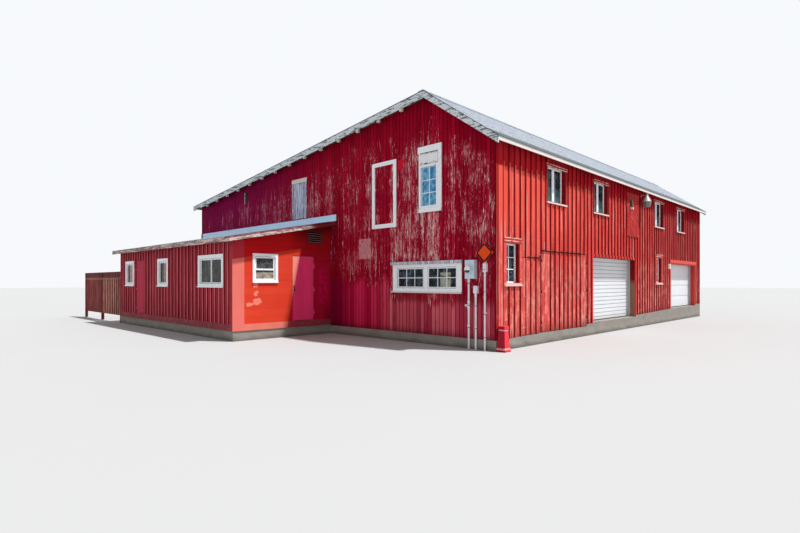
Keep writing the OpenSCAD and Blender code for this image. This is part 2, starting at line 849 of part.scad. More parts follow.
module sign_post() {
    half = sign_post_w / 2;
    corner_z = sign_z - sign_w / sqrt(2);
    color("gray") translate([half_w - sign_from_right, 0, 0]) {
        translate([0, half - sign_post_out, 0]) cylinder(r = half, h = corner_z);
        block([-sign_post_w, sign_post_w], [-sign_post_out, 0],
            [corner_z - sign_bracket_h, corner_z]);
        block([-half, half], [-sign_post_out, -half], [corner_z - half, sign_z + sign_w / 2]);
        block([-half, half], [half - sign_post_out, 0], [floor_z * 3, floor_z * 3 + sign_post_w]);
    }
}

module sign_panel() {
    color("orange") translate([half_w - sign_from_right, -sign_post_out, sign_z])
        rotate([90, 45, 0]) translate([-sign_w / 2, -sign_w / 2, 0])
            cube([sign_w, sign_w, sign_t]);
}

bollard_y = 90;
bollard_top = 0.72;
band_h = 45;

module corner_bollard() {
    color(red)
        translate([half_w + foundation_proud + bollard_w / 2, bollard_y, 0])
            union() {
                block([-bollard_w / 2, bollard_w / 2], [-bollard_w / 2, bollard_w / 2],
                    [0, band_h * 1.6]);
                translate([0, 0, band_h]) rotate([0, 0, 45])
                    cylinder(r1 = bollard_w * 0.64, r2 = bollard_w * bollard_top * 0.62,
                        h = bollard_h - 2 * band_h, $fn = 4);
                translate([0, 0, bollard_h - band_h * 1.4])
                    block([-bollard_w * 0.37, bollard_w * 0.37],
                        [-bollard_w * 0.37, bollard_w * 0.37], [0, band_h * 1.4]);
            }
}

lamp_z = 4990;
lamp_arm = 250;
lamp_r = 160;

module barn_lamp() {
    color("dimgray") on_right(lamp_y) {
        translate([0, 0, lamp_z]) rotate([90, 0, 0]) {
            cylinder(r = lamp_r * 0.35, h = lamp_r * 0.2);
            cylinder(r = lamp_r * 0.08, h = lamp_arm);
        }
        translate([0, -lamp_arm, lamp_z]) {
            translate([0, 0, -lamp_r * 0.15]) cylinder(r = lamp_r * 0.28, h = lamp_r * 0.45);
            translate([0, 0, -lamp_r * 1.55])
                cylinder(r1 = lamp_r, r2 = lamp_r * 0.26, h = lamp_r * 1.42);
            translate([0, 0, -lamp_r * 2.85])
                cylinder(r1 = lamp_r * 0.62, r2 = lamp_r * 0.92, h = lamp_r * 1.32);
        }
    }
}

// A box beside the second garage door's head, and an outlet on the patch
fitting_from_frame = 240;
fitting_w = 110;
fitting_h = 220;
fitting_d = 110;
fitting_z = 2250;
outlet_w = 120;
outlet_h = 270;
outlet_d = 60;
outlet_z = 4420;

module wall_boxes() {
    y = garage_2_y - 2 * lining_t - fitting_from_frame - fitting_w;
    color("white") on_right() {
        block([y, y + fitting_w], [-fitting_d, 0], [fitting_z, fitting_z + fitting_h]);
        translate([patch_y + (patch_w - outlet_w) * 0.285, -patch_t, outlet_z]) {
            block([0, outlet_w], [-outlet_d, 0], [0, outlet_h]);
            block([outlet_w * 0.2, outlet_w * 0.8], [-outlet_d * 1.5, 0], [-outlet_w / 2, through]);
        }
    }
}

// Lean-to: ring foundation and floor against the barn's own foundation
module lean_to_foundation() {
    t = lean_wall_t;
    color(concrete) difference() {
        block([-half_w, lean_x], [-lean_d, 0], [0, lean_sill]);
        block([-half_w + t, lean_x - t], [-lean_d + t, through], [-through, lean_sill + through]);
        block([-half_w - through, lean_x + through], [-foundation_proud, through],
            [-through, front_sill]);
    }
}

module lean_to_floor() {
    t = lean_wall_t;
    color(concrete)
        block([-half_w + t, lean_x - t], [-lean_d + t, 0],
            [lean_sill - floor_t, lean_sill]);
}

lean_front_top = lean_wall_top(-lean_d);

module lean_to_front_wall() {
    color(red) difference() {
        for (x = [[-half_w, front_door_x], [front_door_x + front_door_w, lean_x]])
            along([[-lean_d, lean_sill], [-lean_d + lean_wall_t, lean_sill],
                [-lean_d + lean_wall_t, lean_wall_top(-lean_d + lean_wall_t)],
                [-lean_d, lean_front_top]], x);
        on_lean_front() window_holes(lean_front_windows, lean_wall_t);
    }
}

// A stretch of the lean-to's end walls, under its sloping roof
module lean_end_stretch(a, b, low, x) {
    along([[a, low], [b, low], [b, lean_wall_top(b)], [a, lean_wall_top(a)]], x);
}

module lean_to_side_wall() {
    x = [lean_x - lean_wall_t, lean_x];
    color(red) difference() {
        union() {
            lean_end_stretch(-lean_d + lean_wall_t, side_door_y, lean_sill, x);
            lean_end_stretch(side_door_y + side_door_w, 0, lean_sill, x);
        }
        on_lean_side() window_holes(lean_side_windows, lean_wall_t);
    }
}

module lean_to_left_wall() {
    color(red) lean_end_stretch(-lean_d + lean_wall_t, 0, lean_sill,
        [-half_w, -half_w + lean_wall_t]);
}

module lean_to_wall_over_doors() {
    color(red) {
        along([[-lean_d, front_door_top], [-lean_d + lean_wall_t, front_door_top],
            [-lean_d + lean_wall_t, lean_wall_top(-lean_d + lean_wall_t)],
            [-lean_d, lean_front_top]], [front_door_x, front_door_x + front_door_w]);
        lean_end_stretch(side_door_y, side_door_y + side_door_w, side_door_top,
            [lean_x - lean_wall_t, lean_x]);
    }
}

lean_eave_y = -lean_d - lean_over_front;
lean_roof_x = [-half_w - lean_over_left, lean_x + lean_over_side];

module lean_to_roof() {
    y = lean_eave_y + board_t;
    color(metal) along([[y, lean_under(y)], [0, lean_under(0)], [0, lean_top(0)],
        [y, lean_top(y)]], [lean_roof_x[0] + board_t, lean_roof_x[1] - board_t]);
}

flashing_t = 12;
flashing_foot = 260;

module lean_to_flashing() {
    f = flashing_foot;
    color(metal) along([[-f, lean_top(-f) + seat], [0, lean_high_z + seat], [0, lean_high_z + flashing_h],
        [-flashing_t, lean_high_z + flashing_h], [-flashing_t, lean_top(-flashing_t) + flashing_t],
        [-f, lean_top(-f) + flashing_t]], [lean_roof_x[0] + board_t, lean_roof_x[1] - board_t]);
}

module lean_to_fascia() {
    h = lean_fascia_h;
    e = lean_eave_y;
    color("rosybrown") {
        along([[e, lean_top(e) - h], [e + board_t, lean_top(e) - h],
            [e + board_t, lean_top(e)], [e, lean_top(e)]], lean_roof_x);
        for (x = [lean_roof_x[0], lean_roof_x[1] - board_t])
            along([[e, lean_top(e) - h], [0, lean_top(0) - h], [0, lean_top(0)],
                [e, lean_top(e)]], [x, x + board_t]);
    }
}

module lean_to_trim_boards() {
    b = board_t;
    c = corner_board_w;
    low = lean_sill - skirt_h;
    high = lean_wall_top(-lean_d - b);
    color(dark_red) {
        block([-half_w, lean_x + b], [-lean_d - b, -lean_d], [low, lean_sill]);
        block([lean_x, lean_x + b], [-lean_d, -foundation_proud], [low, lean_sill]);
        block([lean_x - c / 2, lean_x + b], [-lean_d - b, -lean_d],
            [low, high]);
        block([lean_x, lean_x + b], [-lean_d, -lean_d + c], [low, high]);
    }
}

lean_edge = liner_t + sash_w;

module lean_to_window_frames() {
    color(white) {
        on_lean_front() for (w = lean_front_windows)
            window_frame(w, front_reveal, lean_edge, side_mullion);
        on_lean_side() for (w = lean_side_windows)
            window_frame(w, front_reveal, lean_edge, side_mullion);
    }
}

module lean_to_glass() {
    color("lightblue") {
        on_lean_front() for (w = lean_front_windows)
            glass_pane(w, front_reveal, lean_edge, side_mullion);
        on_lean_side() for (w = lean_side_windows)
            glass_pane(w, front_reveal, lean_edge, side_mullion);
    }
}

// Louvred vent: a frame on the boards with sloping slats between its sides
vent_from_gable = 390;
vent_w = 590;
vent_z = 2930;
vent_h = 400;
vent_out = 60;
vent_edge = 30;
slats = 5;
slat_t = 8;

module lean_to_vent() {
    pitch = (vent_h - 2 * vent_edge) / slats;
    color("saddlebrown") on_lean_side(-vent_from_gable - vent_w) {
        difference() {
            block([0, vent_w], [-vent_out, 0], [vent_z, vent_z + vent_h]);
            block([vent_edge, vent_w - vent_edge], [-vent_out - through, -through],
                [vent_z + vent_edge, vent_z + vent_h - vent_edge]);
        }
        for (i = [0:slats - 1])
            translate([0, 0, vent_z + vent_edge + slat_t + i * pitch])
                along([[-vent_out + slat_t, 0], [-vent_out + slat_t, slat_t],
                    [-slat_t / 4, pitch / 2 + slat_t], [-slat_t / 4, pitch / 2]],
                    [vent_edge / 2, vent_w - vent_edge / 2]);
    }
}

// Screen fence in line with the lean-to's front wall
fence_low = 300;
fence_top_board = 250;
fence_rail = 90;
fence_t = 22;
fence_bays = 2;
function fence_post_x(i) = -half_w - fence_post_w - i * (fence_bay + fence_post_w);

module fence_posts() {
    color("rosybrown") for (i = [0:fence_bays])
        translate([fence_post_x(i), -lean_d, 0]) cube([fence_post_w, fence_post_w, fence_h]);
}

// Rails and top board of one bay, with boards of a given width and gap in front
module fence_panel(bay, width, gap) {
    x0 = fence_post_x(bay + 1) + fence_post_w;
    count = floor((fence_bay + gap) / (width + gap));
    spare = (fence_bay - count * (width + gap) + gap) / 2;
    translate([x0, -lean_d + fence_post_w / 2, 0]) {
        block([0, fence_bay], [-fence_t, 0], [fence_h - fence_top_board, fence_h]);
        for (z = [fence_low, fence_h - fence_top_board - fence_rail / 2])
            block([0, fence_bay], [0, fence_t], [z, z + fence_rail]);
        for (i = [0:count - 1])
            block([spare + i * (width + gap), spare + i * (width + gap) + width],
                [-fence_t, 0], [fence_low, fence_h - fence_top_board]);
    }
}

board_w = 150;
board_gap = 8;

module fence_board_panel() { color("rosybrown") fence_panel(1, board_w, board_gap); }

module fence_picket_panel() { color("indianred") fence_panel(0, picket_w, picket_gap); }

barn_foundation();
ground_floor();
loft_posts();
loft_beams();
loft_floor();
front_gable_wall();
rear_gable_wall();
left_wall();
right_wall_piers();
right_wall_over_doors();
roof_deck_left();
roof_deck_right();
roof_metal();
ridge_cap();
barge_boards();
eave_fascias();
purlin_ends();
front_window_frames();
right_window_frames();
left_window_frames();
rear_window_frames();
barn_window_glass();
blank_frame();
loft_door();
plywood_patch();
garage_frames();
garage_door_1();
garage_door_2();
walk_door();
barn_door_left();
barn_door_right();
hinge_pins();
meter_box();
conduits();
sign_post();
sign_panel();
corner_bollard();
barn_lamp();
wall_boxes();
lean_to_foundation();
lean_to_floor();
lean_to_front_wall();
lean_to_side_wall();
lean_to_left_wall();
lean_to_wall_over_doors();
lean_to_roof();
lean_to_flashing();
lean_to_fascia();
lean_to_trim_boards();
lean_to_front_door();
lean_to_side_door();
lean_to_window_frames();
lean_to_glass();
lean_to_vent();
fence_posts();
fence_board_panel();
fence_picket_panel();
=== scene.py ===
import math
import random

import bmesh
import bpy
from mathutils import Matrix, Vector


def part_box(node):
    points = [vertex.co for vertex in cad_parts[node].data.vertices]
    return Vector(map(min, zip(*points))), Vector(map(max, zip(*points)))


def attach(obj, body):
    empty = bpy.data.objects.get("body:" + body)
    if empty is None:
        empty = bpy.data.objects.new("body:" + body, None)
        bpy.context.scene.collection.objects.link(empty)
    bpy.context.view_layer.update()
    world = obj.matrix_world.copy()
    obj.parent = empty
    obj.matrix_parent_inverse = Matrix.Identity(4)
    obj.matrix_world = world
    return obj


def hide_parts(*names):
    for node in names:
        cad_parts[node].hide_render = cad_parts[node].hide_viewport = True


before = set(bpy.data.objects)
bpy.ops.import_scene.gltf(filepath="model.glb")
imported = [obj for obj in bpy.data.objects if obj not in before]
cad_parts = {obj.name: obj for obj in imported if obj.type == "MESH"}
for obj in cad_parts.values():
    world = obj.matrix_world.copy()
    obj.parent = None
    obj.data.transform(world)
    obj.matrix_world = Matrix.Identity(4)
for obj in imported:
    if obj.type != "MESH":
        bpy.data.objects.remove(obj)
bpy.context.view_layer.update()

# The view: somebody stands off the barn's front corner on the garage side and holds a wide lens level.
# Its height and turn come from the lines of the siding, eaves and foundation.
lens = bpy.data.cameras.new("lens")
lens.sensor_width = 36.0
lens.lens = 22.85
lens.shift_y = 0.0192
lens.clip_end = 400.0
viewer = bpy.data.objects.new("viewer", lens)
viewer.location = (15.00, -10.51, 1.70)
viewer.rotation_euler = (math.radians(90), 0, math.radians(44.25))
bpy.context.scene.collection.objects.link(viewer)
bpy.context.scene.camera = viewer
bpy.context.scene.view_settings.view_transform = "Standard"


# The room: soft white light from all round, one broad lamp high on the garage side, a plain pale floor.
# The backdrop is white for the lens, for gloss and through glass, and lights the barn less than that.
class Value:
    """One output of a node. A sum, product or comparison of values adds a Math node."""

    def __init__(self, nodes, link):
        self.nodes = nodes
        self.link = link

    def __add__(self, other):
        return self.nodes.maths("ADD", self, other)

    def __sub__(self, other):
        return self.nodes.maths("SUBTRACT", self, other)

    def __rsub__(self, other):
        return self.nodes.maths("SUBTRACT", other, self)

    def __mul__(self, other):
        return self.nodes.maths("MULTIPLY", self, other)

    def __truediv__(self, other):
        return self.nodes.maths("DIVIDE", self, other)

    def __gt__(self, other):
        return self.nodes.maths("GREATER_THAN", self, other)

    def __lt__(self, other):
        return self.nodes.maths("LESS_THAN", self, other)

    def __abs__(self):
        return self.nodes.maths("ABSOLUTE", self)

    __radd__ = __add__
    __rmul__ = __mul__


class Nodes:
    """The nodes of one finish, or of the room's light."""

    def __init__(self, tree):
        self.tree = tree
        tree.nodes.clear()

    def add(self, kind, settings=None, inputs=(), output=0):
        node = self.tree.nodes.new(kind)
        for name, value in (settings or {}).items():
            setattr(node, name, value)
        for key, value in inputs.items() if isinstance(inputs, dict) else enumerate(inputs):
            self.feed(node.inputs[key], value)
        return Value(self, node.outputs[output]) if node.outputs else None

    def feed(self, socket, value):
        if isinstance(value, Value):
            self.tree.links.new(value.link, socket)
        else:
            socket.default_value = value

    def maths(self, operation, first, second=0.0):
        return self.add("ShaderNodeMath", {"operation": operation}, [first, second])


def tone(red, green, blue):
    """A colour as it is seen, from 0 to 255, made ready for a shader."""
    seen = [c / 255 for c in (red, green, blue)]
    return tuple(c / 12.92 if c <= 0.04045 else ((c + 0.055) / 1.055) ** 2.4 for c in seen) + (1.0,)


world = bpy.data.worlds.new("room")
bpy.context.scene.world = world
world.use_nodes = True
room = Nodes(world.node_tree)
seen_white = room.add("ShaderNodeLightPath", output="Is Camera Ray") \
    + room.add("ShaderNodeLightPath", output="Is Glossy Ray") \
    + room.add("ShaderNodeLightPath", output="Is Transmission Ray")
ambient = 0.56
backdrop = room.add("ShaderNodeBackground", None, {
    "Color": tone(247, 249, 252), "Strength": (seen_white > 0.5) * (1 - ambient) + ambient})
room.add("ShaderNodeOutputWorld", None, [backdrop])

lamp = bpy.data.lights.new("broad_lamp", "SUN")
lamp.energy = 5.0
lamp.angle = math.radians(2)
lamp_holder = bpy.data.objects.new("broad_lamp", lamp)
lamp_from = Vector((0.40, 0.243, 1.0))
lamp_holder.rotation_euler = lamp_from.to_track_quat("Z", "Y").to_euler()
bpy.context.scene.collection.objects.link(lamp_holder)


class Paint(Nodes):
    """A finish drawn in the barn's own metres, so that it keeps its scale on every piece."""

    def __init__(self, name, roughness=0.7, metallic=0.0, gloss=0.12, **sockets):
        self.material = bpy.data.materials.new(name)
        self.material.use_nodes = True
        super().__init__(self.material.node_tree)
        self.shader = self.tree.nodes.new("ShaderNodeBsdfPrincipled")
        self.feed(self.shader.inputs["Roughness"], roughness)
        self.feed(self.shader.inputs["Metallic"], metallic)
        self.feed(self.shader.inputs["Specular IOR Level"], gloss)
        for socket, value in sockets.items():
            self.feed(self.shader.inputs[socket], value)
        self.add("ShaderNodeOutputMaterial", None, [Value(self, self.shader.outputs[0])])
        self.place = self.add("ShaderNodeTexCoord", output="Object")
        self.x, self.y, self.z = (self.add("ShaderNodeSeparateXYZ", None, [self.place], axis)
                                  for axis in range(3))

    def noise(self, size, detail=4.0, rough=0.55):
        """Soft spots from 0 to 1, of a size in metres along x, y and z."""
        spread = self.add("ShaderNodeVectorMath", {"operation": "MULTIPLY"},
                          [self.place, tuple(1 / s for s in size)])
        return self.add("ShaderNodeTexNoise", None,
                        {"Vector": spread, "Scale": 1.0, "Detail": detail, "Roughness": rough})

    def fade(self, value, low, high):
        """Rises smoothly from 0 at low to 1 at high, or falls where low is over high."""
        return self.add("ShaderNodeMapRange", {"interpolation_type": "SMOOTHSTEP"},
                        {"Value": value, "From Min": low, "From Max": high})

    def band(self, value, start, full, fading, end):
        """Rises from 0 to 1 between two values, and falls back to 0 between two more."""
        return self.fade(value, start, full) * self.fade(value, end, fading)

    def each(self, value, pitch, seed=0.0):
        """One chance number for each stretch of a value, such as each board of a wall."""
        count = self.maths("FLOOR", value / pitch)
        return self.add("ShaderNodeTexWhiteNoise", {"noise_dimensions": "1D"}, {"W": count + seed})

    def from_middle(self, value, pitch):
        """How far a value lies from the middle of its stretch, up to 0.5 at either end."""
        return abs(self.maths("FRACT", value / pitch) - 0.5)

    def within(self, value, low, high):
        """A mask that is on between two values."""
        return (value > low) * (value < high)

    def highest(self, first, *others):
        """The highest of some values. Of masks, it is where any of them is on."""
        for value in others:
            first = self.maths("MAXIMUM", first, value)
        return first

    def mix(self, share, first, second):
        """The first colour, with a share of the second over it. A plain one is given as it is seen."""
        first, second = (tone(*c) if isinstance(c, tuple) else c for c in (first, second))
        return self.add("ShaderNodeMix", {"data_type": "RGBA"}, {0: share, 6: first, 7: second}, 2)

    def coats(self, colour, *coats):
        """A colour with more of them over it, each as its share and its colour."""
        for share, coat in coats:
            colour = self.mix(share, colour, coat)
        return colour

    def cover(self, colour, bump=None, depth=0.002, roughness=None):
        """Puts a colour, and relief and gloss that vary, on the surface."""
        self.feed(self.shader.inputs["Base Color"], colour)
        if bump is not None:
            relief = self.add("ShaderNodeBump", None, {"Distance": depth, "Height": bump})
            self.feed(self.shader.inputs["Normal"], relief)
        if roughness is not None:
            self.feed(self.shader.inputs["Roughness"], roughness)
        return self


def dress(paint, *nodes):
    """Gives CAD pieces a finish."""
    for node in nodes:
        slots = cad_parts[node].data.materials
        slots.clear()
        slots.append(paint.material)


class Piece:
    """A mesh put together from boards and other solids, which then rides on a body."""

    def __init__(self, name):
        self.name = name
        self.points = []
        self.faces = []
        self.paints = []

    def loft(self, rings, paint=0):
        """Joins rings of as many points each and caps both ends. A list of paints goes by edge."""
        start = len(self.points)
        count = len(rings[0])
        for ring in rings:
            self.points.extend(ring)
        for row in range(len(rings) - 1):
            for edge in range(count):
                a = start + row * count + edge
                b = start + row * count + (edge + 1) % count
                self.faces.append((a, b, b + count, a + count))
                self.paints.append(paint[edge] if isinstance(paint, list) else paint)
        last = start + (len(rings) - 1) * count
        for ring in (range(start + count - 1, start - 1, -1), range(last, last + count)):
            self.faces.append(tuple(ring))
            self.paints.append(paint[0] if isinstance(paint, list) else paint)

    def make(self, paints, body="barn", smooth=False, replaces=()):
        mesh = bpy.data.meshes.new(self.name)
        mesh.from_pydata([tuple(p) for p in self.points], [], self.faces)
        for paint in paints:
            mesh.materials.append(paint.material)
        mesh.polygons.foreach_set("material_index", self.paints)
        mesh.polygons.foreach_set("use_smooth", [smooth] * len(self.faces))
        shape = bmesh.new()
        shape.from_mesh(mesh)
        bmesh.ops.recalc_face_normals(shape, faces=shape.faces)
        shape.to_mesh(mesh)
        shape.free()
        piece = bpy.data.objects.new(self.name, mesh)
        bpy.context.scene.collection.objects.link(piece)
        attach(piece, body)
        if replaces:
            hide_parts(*replaces)


def mottled(name, size, first, second, depth=None, roughness=0.8, metallic=0.0, gloss=0.12):
    """A finish in two tones, in spots or streaks of a size, and in relief where a depth is given."""
    paint = Paint(name, roughness, metallic, gloss)
    spots = paint.noise(size)
    return paint.cover(paint.mix(spots, first, second), None if depth is None else spots, depth)


floor_reach = 160.0
floor = Piece("studio_floor")
floor.loft([[(x, y, z) for x, y in ((-floor_reach, -floor_reach), (floor_reach, -floor_reach),
                                    (floor_reach, floor_reach), (-floor_reach, floor_reach))]
            for z in (-0.2, -0.001)])
floor_mesh = bpy.data.meshes.new("studio_floor")
floor_mesh.from_pydata(floor.points, [], floor.faces)
floor_paint = mottled("pale_floor", (9, 9, 9), (172, 172, 171), (177, 177, 177), roughness=0.9)
floor_mesh.materials.append(floor_paint.material)
studio_floor = bpy.data.objects.new("studio_floor", floor_mesh)
bpy.context.scene.collection.objects.link(studio_floor)


# Foundations and floors: concrete poured between board forms, dark and damp at its foot, chalky on top.
# The barn's ring climbs with the ground towards the rear, and its thresholds are cut down into it.
concrete = Paint("old_concrete", 0.92)
blotch = concrete.noise((0.5, 0.5, 0.2))
grit = concrete.noise((0.02, 0.02, 0.02))
form_line = concrete.each(concrete.z, 0.14)
damp = concrete.fade(concrete.z + blotch * 0.12, 0.22, 0.05)
concrete_base = concrete.coats(
    concrete.mix(blotch, (120, 116, 111), (164, 158, 149)),
    (form_line * 0.2, (132, 127, 120)),
    (damp * 0.7, (88, 83, 77)))
concrete.cover(concrete_base, grit + blotch, 0.006)
dress(concrete, "barn_foundation", "ground_floor", "lean_to_foundation", "lean_to_floor")


# Loft frame and the inside of the walls: sawn timber gone brown, with grain along each stick.
# The solid walls and decks stand for framing and sheathing, so their inner faces are bare boards.
timber = Paint("sawn_timber", 0.85)
grain = timber.noise((0.03, 0.03, 0.9))
plank_tint = timber.each(timber.x + timber.y, 0.15)
timber_base = timber.mix(plank_tint * 0.6, (121, 94, 68), (88, 68, 50))
timber.cover(timber.mix(timber.fade(grain, 0.45, 0.7) * 0.6, timber_base, (62, 47, 36)), grain, 0.002)
dress(timber, "loft_posts", "loft_beams", "loft_floor", "roof_deck_left", "roof_deck_right", "lean_to_roof")

p = Paint("wall_core", 0.85)
barn_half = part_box("front_gable_wall")[1].x
barn_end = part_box("rear_gable_wall")[1].y
lean_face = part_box("lean_to_front_wall")
skin = 0.002
grain = p.noise((0.03, 0.03, 0.9))
outside = p.highest(abs(p.x) > barn_half - skin, p.y > barn_end - skin, abs(p.y) < skin,
                    (p.y < -0.02) * (p.x > lean_face[1].x - skin), p.y < lean_face[0].y + skin)
p.cover(p.mix(outside, p.mix(grain, (96, 74, 54), (128, 100, 72)),
              p.mix(grain, (70, 8, 14), (104, 16, 22))), grain, 0.002)
dress(p, "front_gable_wall", "rear_gable_wall", "left_wall", "right_wall_piers",
      "right_wall_over_doors", "lean_to_front_wall", "lean_to_side_wall", "lean_to_left_wall",
      "lean_to_wall_over_doors")


# Gable boards: planed boards about five inches wide, nailed upright edge to edge on both gables.
# Crimson paint is whole under the eaves and has weathered to pink and bare grey wood in the middle.
class Wall:
    """A wall's own frame: u to the right as seen from outside, out away from the wall."""

    def __init__(self, corner, right):
        self.corner = Vector(corner)
        self.right = Vector(right)
        self.out = Vector((right[1], -right[0], 0))

    def at(self, u, z, out=0.0):
        return self.corner + self.right * u + self.out * out + Vector((0, 0, z))

    def span(self, box):
        """A box's reach on this wall, as its two ends along u and its two heights."""
        ends = sorted((Vector(corner) - self.corner).dot(self.right) for corner in box)
        return ends[0], ends[1], box[0][2], box[1][2]

    def depth(self, box):
        """How far a box reaches out from this wall, nearest value first."""
        return sorted((Vector(corner) - self.corner).dot(self.out) for corner in box)


def solids(node):
    """The box of each separate solid of a CAD node."""
    weld = 1e-5
    shape = bmesh.new()
    shape.from_mesh(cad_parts[node].data)
    bmesh.ops.remove_doubles(shape, verts=shape.verts, dist=weld)
    left = set(shape.verts)
    boxes = []
    while left:
        found = [left.pop()]
        for vert in found:
            for edge in vert.link_edges:
                other = edge.other_vert(vert)
                if other in left:
                    left.remove(other)
                    found.append(other)
        boxes.append([Vector(map(pick, zip(*(v.co for v in found)))) for pick in (min, max)])
    shape.free()
    return sorted(boxes, key=lambda box: tuple(box[0]))


def spans(wall, *nodes):
    """The reach on a wall of each separate solid of some CAD nodes."""
    return [wall.span(box) for node in nodes for box in solids(node)]


def level(z):
    """A height, as a function that gives it anywhere along a wall."""
    return lambda u: z


def lengths(u0, u1, low, high, holes):
    """Cuts one board round the holes in its wall: its parts, as two ends along u and two heights."""
    least = 0.012
    ends = sorted({u0, u1, *(end for hole in holes for end in hole[:2] if u0 < end < u1)})
    for a, b in zip(ends, ends[1:]):
        if b - a < least:
            continue
        middle = (a + b) / 2
        foot = low
        for bottom, top in sorted(h[2:] for h in holes if h[0] < middle < h[1]):
            if bottom > foot(middle) + least:
                yield a, b, foot, level(bottom)
            if top > foot(middle):
                foot = level(top)
        if high(middle) > foot(middle) + least:
            yield a, b, foot, high


def board(piece, wall, u0, u1, low, high, inner, outer, ease=0.002, front=0, side=0):
    """An upright board with eased front edges. Its heights are numbers, or functions of the way along."""
    section = [(u0, inner), (u0, outer - ease), (u0 + ease, outer), (u1 - ease, outer),
               (u1, outer - ease), (u1, inner)]
    piece.loft([[wall.at(u, end(u) if callable(end) else end, out) for u, out in section]
                for end in (low, high)], [side, side, front, side, side, side])


def rail(piece, wall, u0, u1, z0, z1, inner, outer, ease=0.002, front=0, side=0):
    """A level board with eased front edges."""
    section = [(z0, inner), (z0, outer - ease), (z0 + ease, outer), (z1 - ease, outer),
               (z1, outer - ease), (z1, inner)]
    piece.loft([[wall.at(u, z, out) for z, out in section] for u in (u0, u1)],
               [side, side, front, side, side, side])


def fitted(name, wall, paints, rails=(), boards=()):
    """A piece of a few level and upright boards on one wall, each given as rail or board takes it."""
    piece = Piece(name)
    for strip in rails:
        rail(piece, wall, *strip)
    for strip in boards:
        board(piece, wall, *strip)
    piece.make(paints)


gable_low, gable_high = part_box("front_gable_wall")
rear_low, rear_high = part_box("rear_gable_wall")
half_w = gable_high.x
barn_l = rear_high.y
front_sill = gable_low.z
rear_sill = rear_low.z
ridge = max((v.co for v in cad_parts["front_gable_wall"].data.vertices), key=lambda p: p.z)
left_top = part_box("left_wall")[1].z
right_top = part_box("right_wall_piers")[1].z
slope_left = (ridge.z - left_top) / (ridge.x + half_w)
slope_right = (ridge.z - right_top) / (half_w - ridge.x)
front_wall = Wall((0, 0, 0), (1, 0, 0))
rear_wall = Wall((0, barn_l, 0), (-1, 0, 0))
garage_wall = Wall((half_w, 0, 0), (0, 1, 0))
left_side = Wall((-half_w, 0, 0), (0, -1, 0))
inside = -0.004
chance = random.Random(11)


def roof_line(x):
    """The height of the roof line over both gables."""
    return ridge.z - (x - ridge.x) * slope_right if x > ridge.x else ridge.z - (ridge.x - x) * slope_left


gable_paint = p = Paint("gable_boards", 0.8, 0.0, 0.04)
gable_pitch = 0.136
far_left = 20
near_end = 0.5
under_roof_left = (p.x - ridge.x) * slope_left + ridge.z - p.z
under_roof_right = (ridge.x - p.x) * slope_right + ridge.z - p.z
under_roof = p.maths("MINIMUM", under_roof_left, under_roof_right)
board_chance = p.each(p.x + far_left, gable_pitch)
board_tone = p.each(p.x + far_left, gable_pitch, 31.5)
near_joint = p.fade(p.from_middle(p.x + far_left, gable_pitch), 0.34, 0.45)
flecks = p.noise((0.014, 1.0, 0.17), 4.0, 0.72)
hairs = p.noise((0.012, 1.0, 0.80), 3.0, 0.6)
streaks = p.noise((0.10, 1.0, 0.80), 4.0, 0.65)
clouds = p.noise((1.3, 1.0, 0.9), 3.0)
fine = p.noise((0.03, 1.0, 0.12), 3.0, 0.7)
worn_place = p.band(p.x, 4.15, 4.75, 5.2, 7.0) * p.band(p.z, 2.1, 2.5, 5.3, 6.1)
middle = p.fade(p.x, 1.6, 2.6) * p.band(p.z, 1.6, 2.2, 4.2, 5.6)
by_loft = p.band(p.x, -6.0, -3.0, 1.0, 2.2) * p.band(p.z, 3.8, 4.0, 4.6, 5.4)
eave_band = p.fade(under_roof + clouds * 0.5, 1.05, 0.55)
low_line = p.z + clouds * 0.5 + board_chance * 0.35 + streaks * 0.4 + p.fade(p.x, 4.2, 4.6) * 0.45
low_zone = p.fade(low_line, 2.45, 2.15)
wear = (worn_place * 0.040 + middle * 0.016 + by_loft * 0.030 + (board_chance - 0.5) * 0.05
        + (clouds - 0.5) * 0.15 + near_joint * 0.012 - eave_band * 0.075 - low_zone * 0.05)
peel = flecks * 0.40 + hairs * 0.32 + streaks * 0.28 + wear
crimson = p.coats(
    p.mix(board_tone, (148, 1, 32), (176, 6, 44)),
    # painted shade: a purple skylight tint towards the left
    (p.fade(p.x, 2.0, -5.0) * 0.9, (140, 10, 78)),
    (p.fade(hairs, 0.48, 0.58) * 0.6, (86, 1, 18)),
    (p.fade(peel, 0.520, 0.572) * 0.74, (192, 62, 86)),
    (near_joint * 0.65, (78, 2, 18)))
wood = p.mix(p.fade(fine, 0.34, 0.56), (176, 108, 118), (255, 232, 228))
# Painted shade: the bare wood takes the same purple skylight tint on the left.
wood = p.mix(p.fade(p.x, 1.5, -3.0) * 0.6, wood, (150, 124, 164))
peel_edge = p.fade(peel, 0.583, 0.595)
peeled = p.mix(peel_edge * 0.86, crimson, wood)
dusty = p.coats(
    p.mix(board_tone, (172, 50, 72), (224, 108, 120)),
    (p.fade(p.x + board_chance * 0.5, 4.7, 3.9), p.mix(board_tone, (176, 10, 58), (224, 46, 94))),
    (p.fade(p.x + board_chance * 0.6, 3.3, 2.5), p.mix(board_chance, (128, 3, 48), (164, 8, 66))),
    (p.fade(streaks, 0.56, 0.66) * 0.5, (130, 10, 34)),
    (near_joint * 0.6, (88, 6, 22)))
front = p.y < near_end
pale_patch = front * p.within(p.x, 2.98, 3.53) * p.within(p.z, 2.41, 3.03)
bright_patch = front * p.within(p.x, 4.69, 4.915) * p.within(p.z, 4.95, 5.22)
foot_line = p.fade(p.z + fine * 0.35 + streaks * 0.3, 1.36, 1.60)
grime = p.fade(p.z + fine * 0.2, 0.60, 0.30)
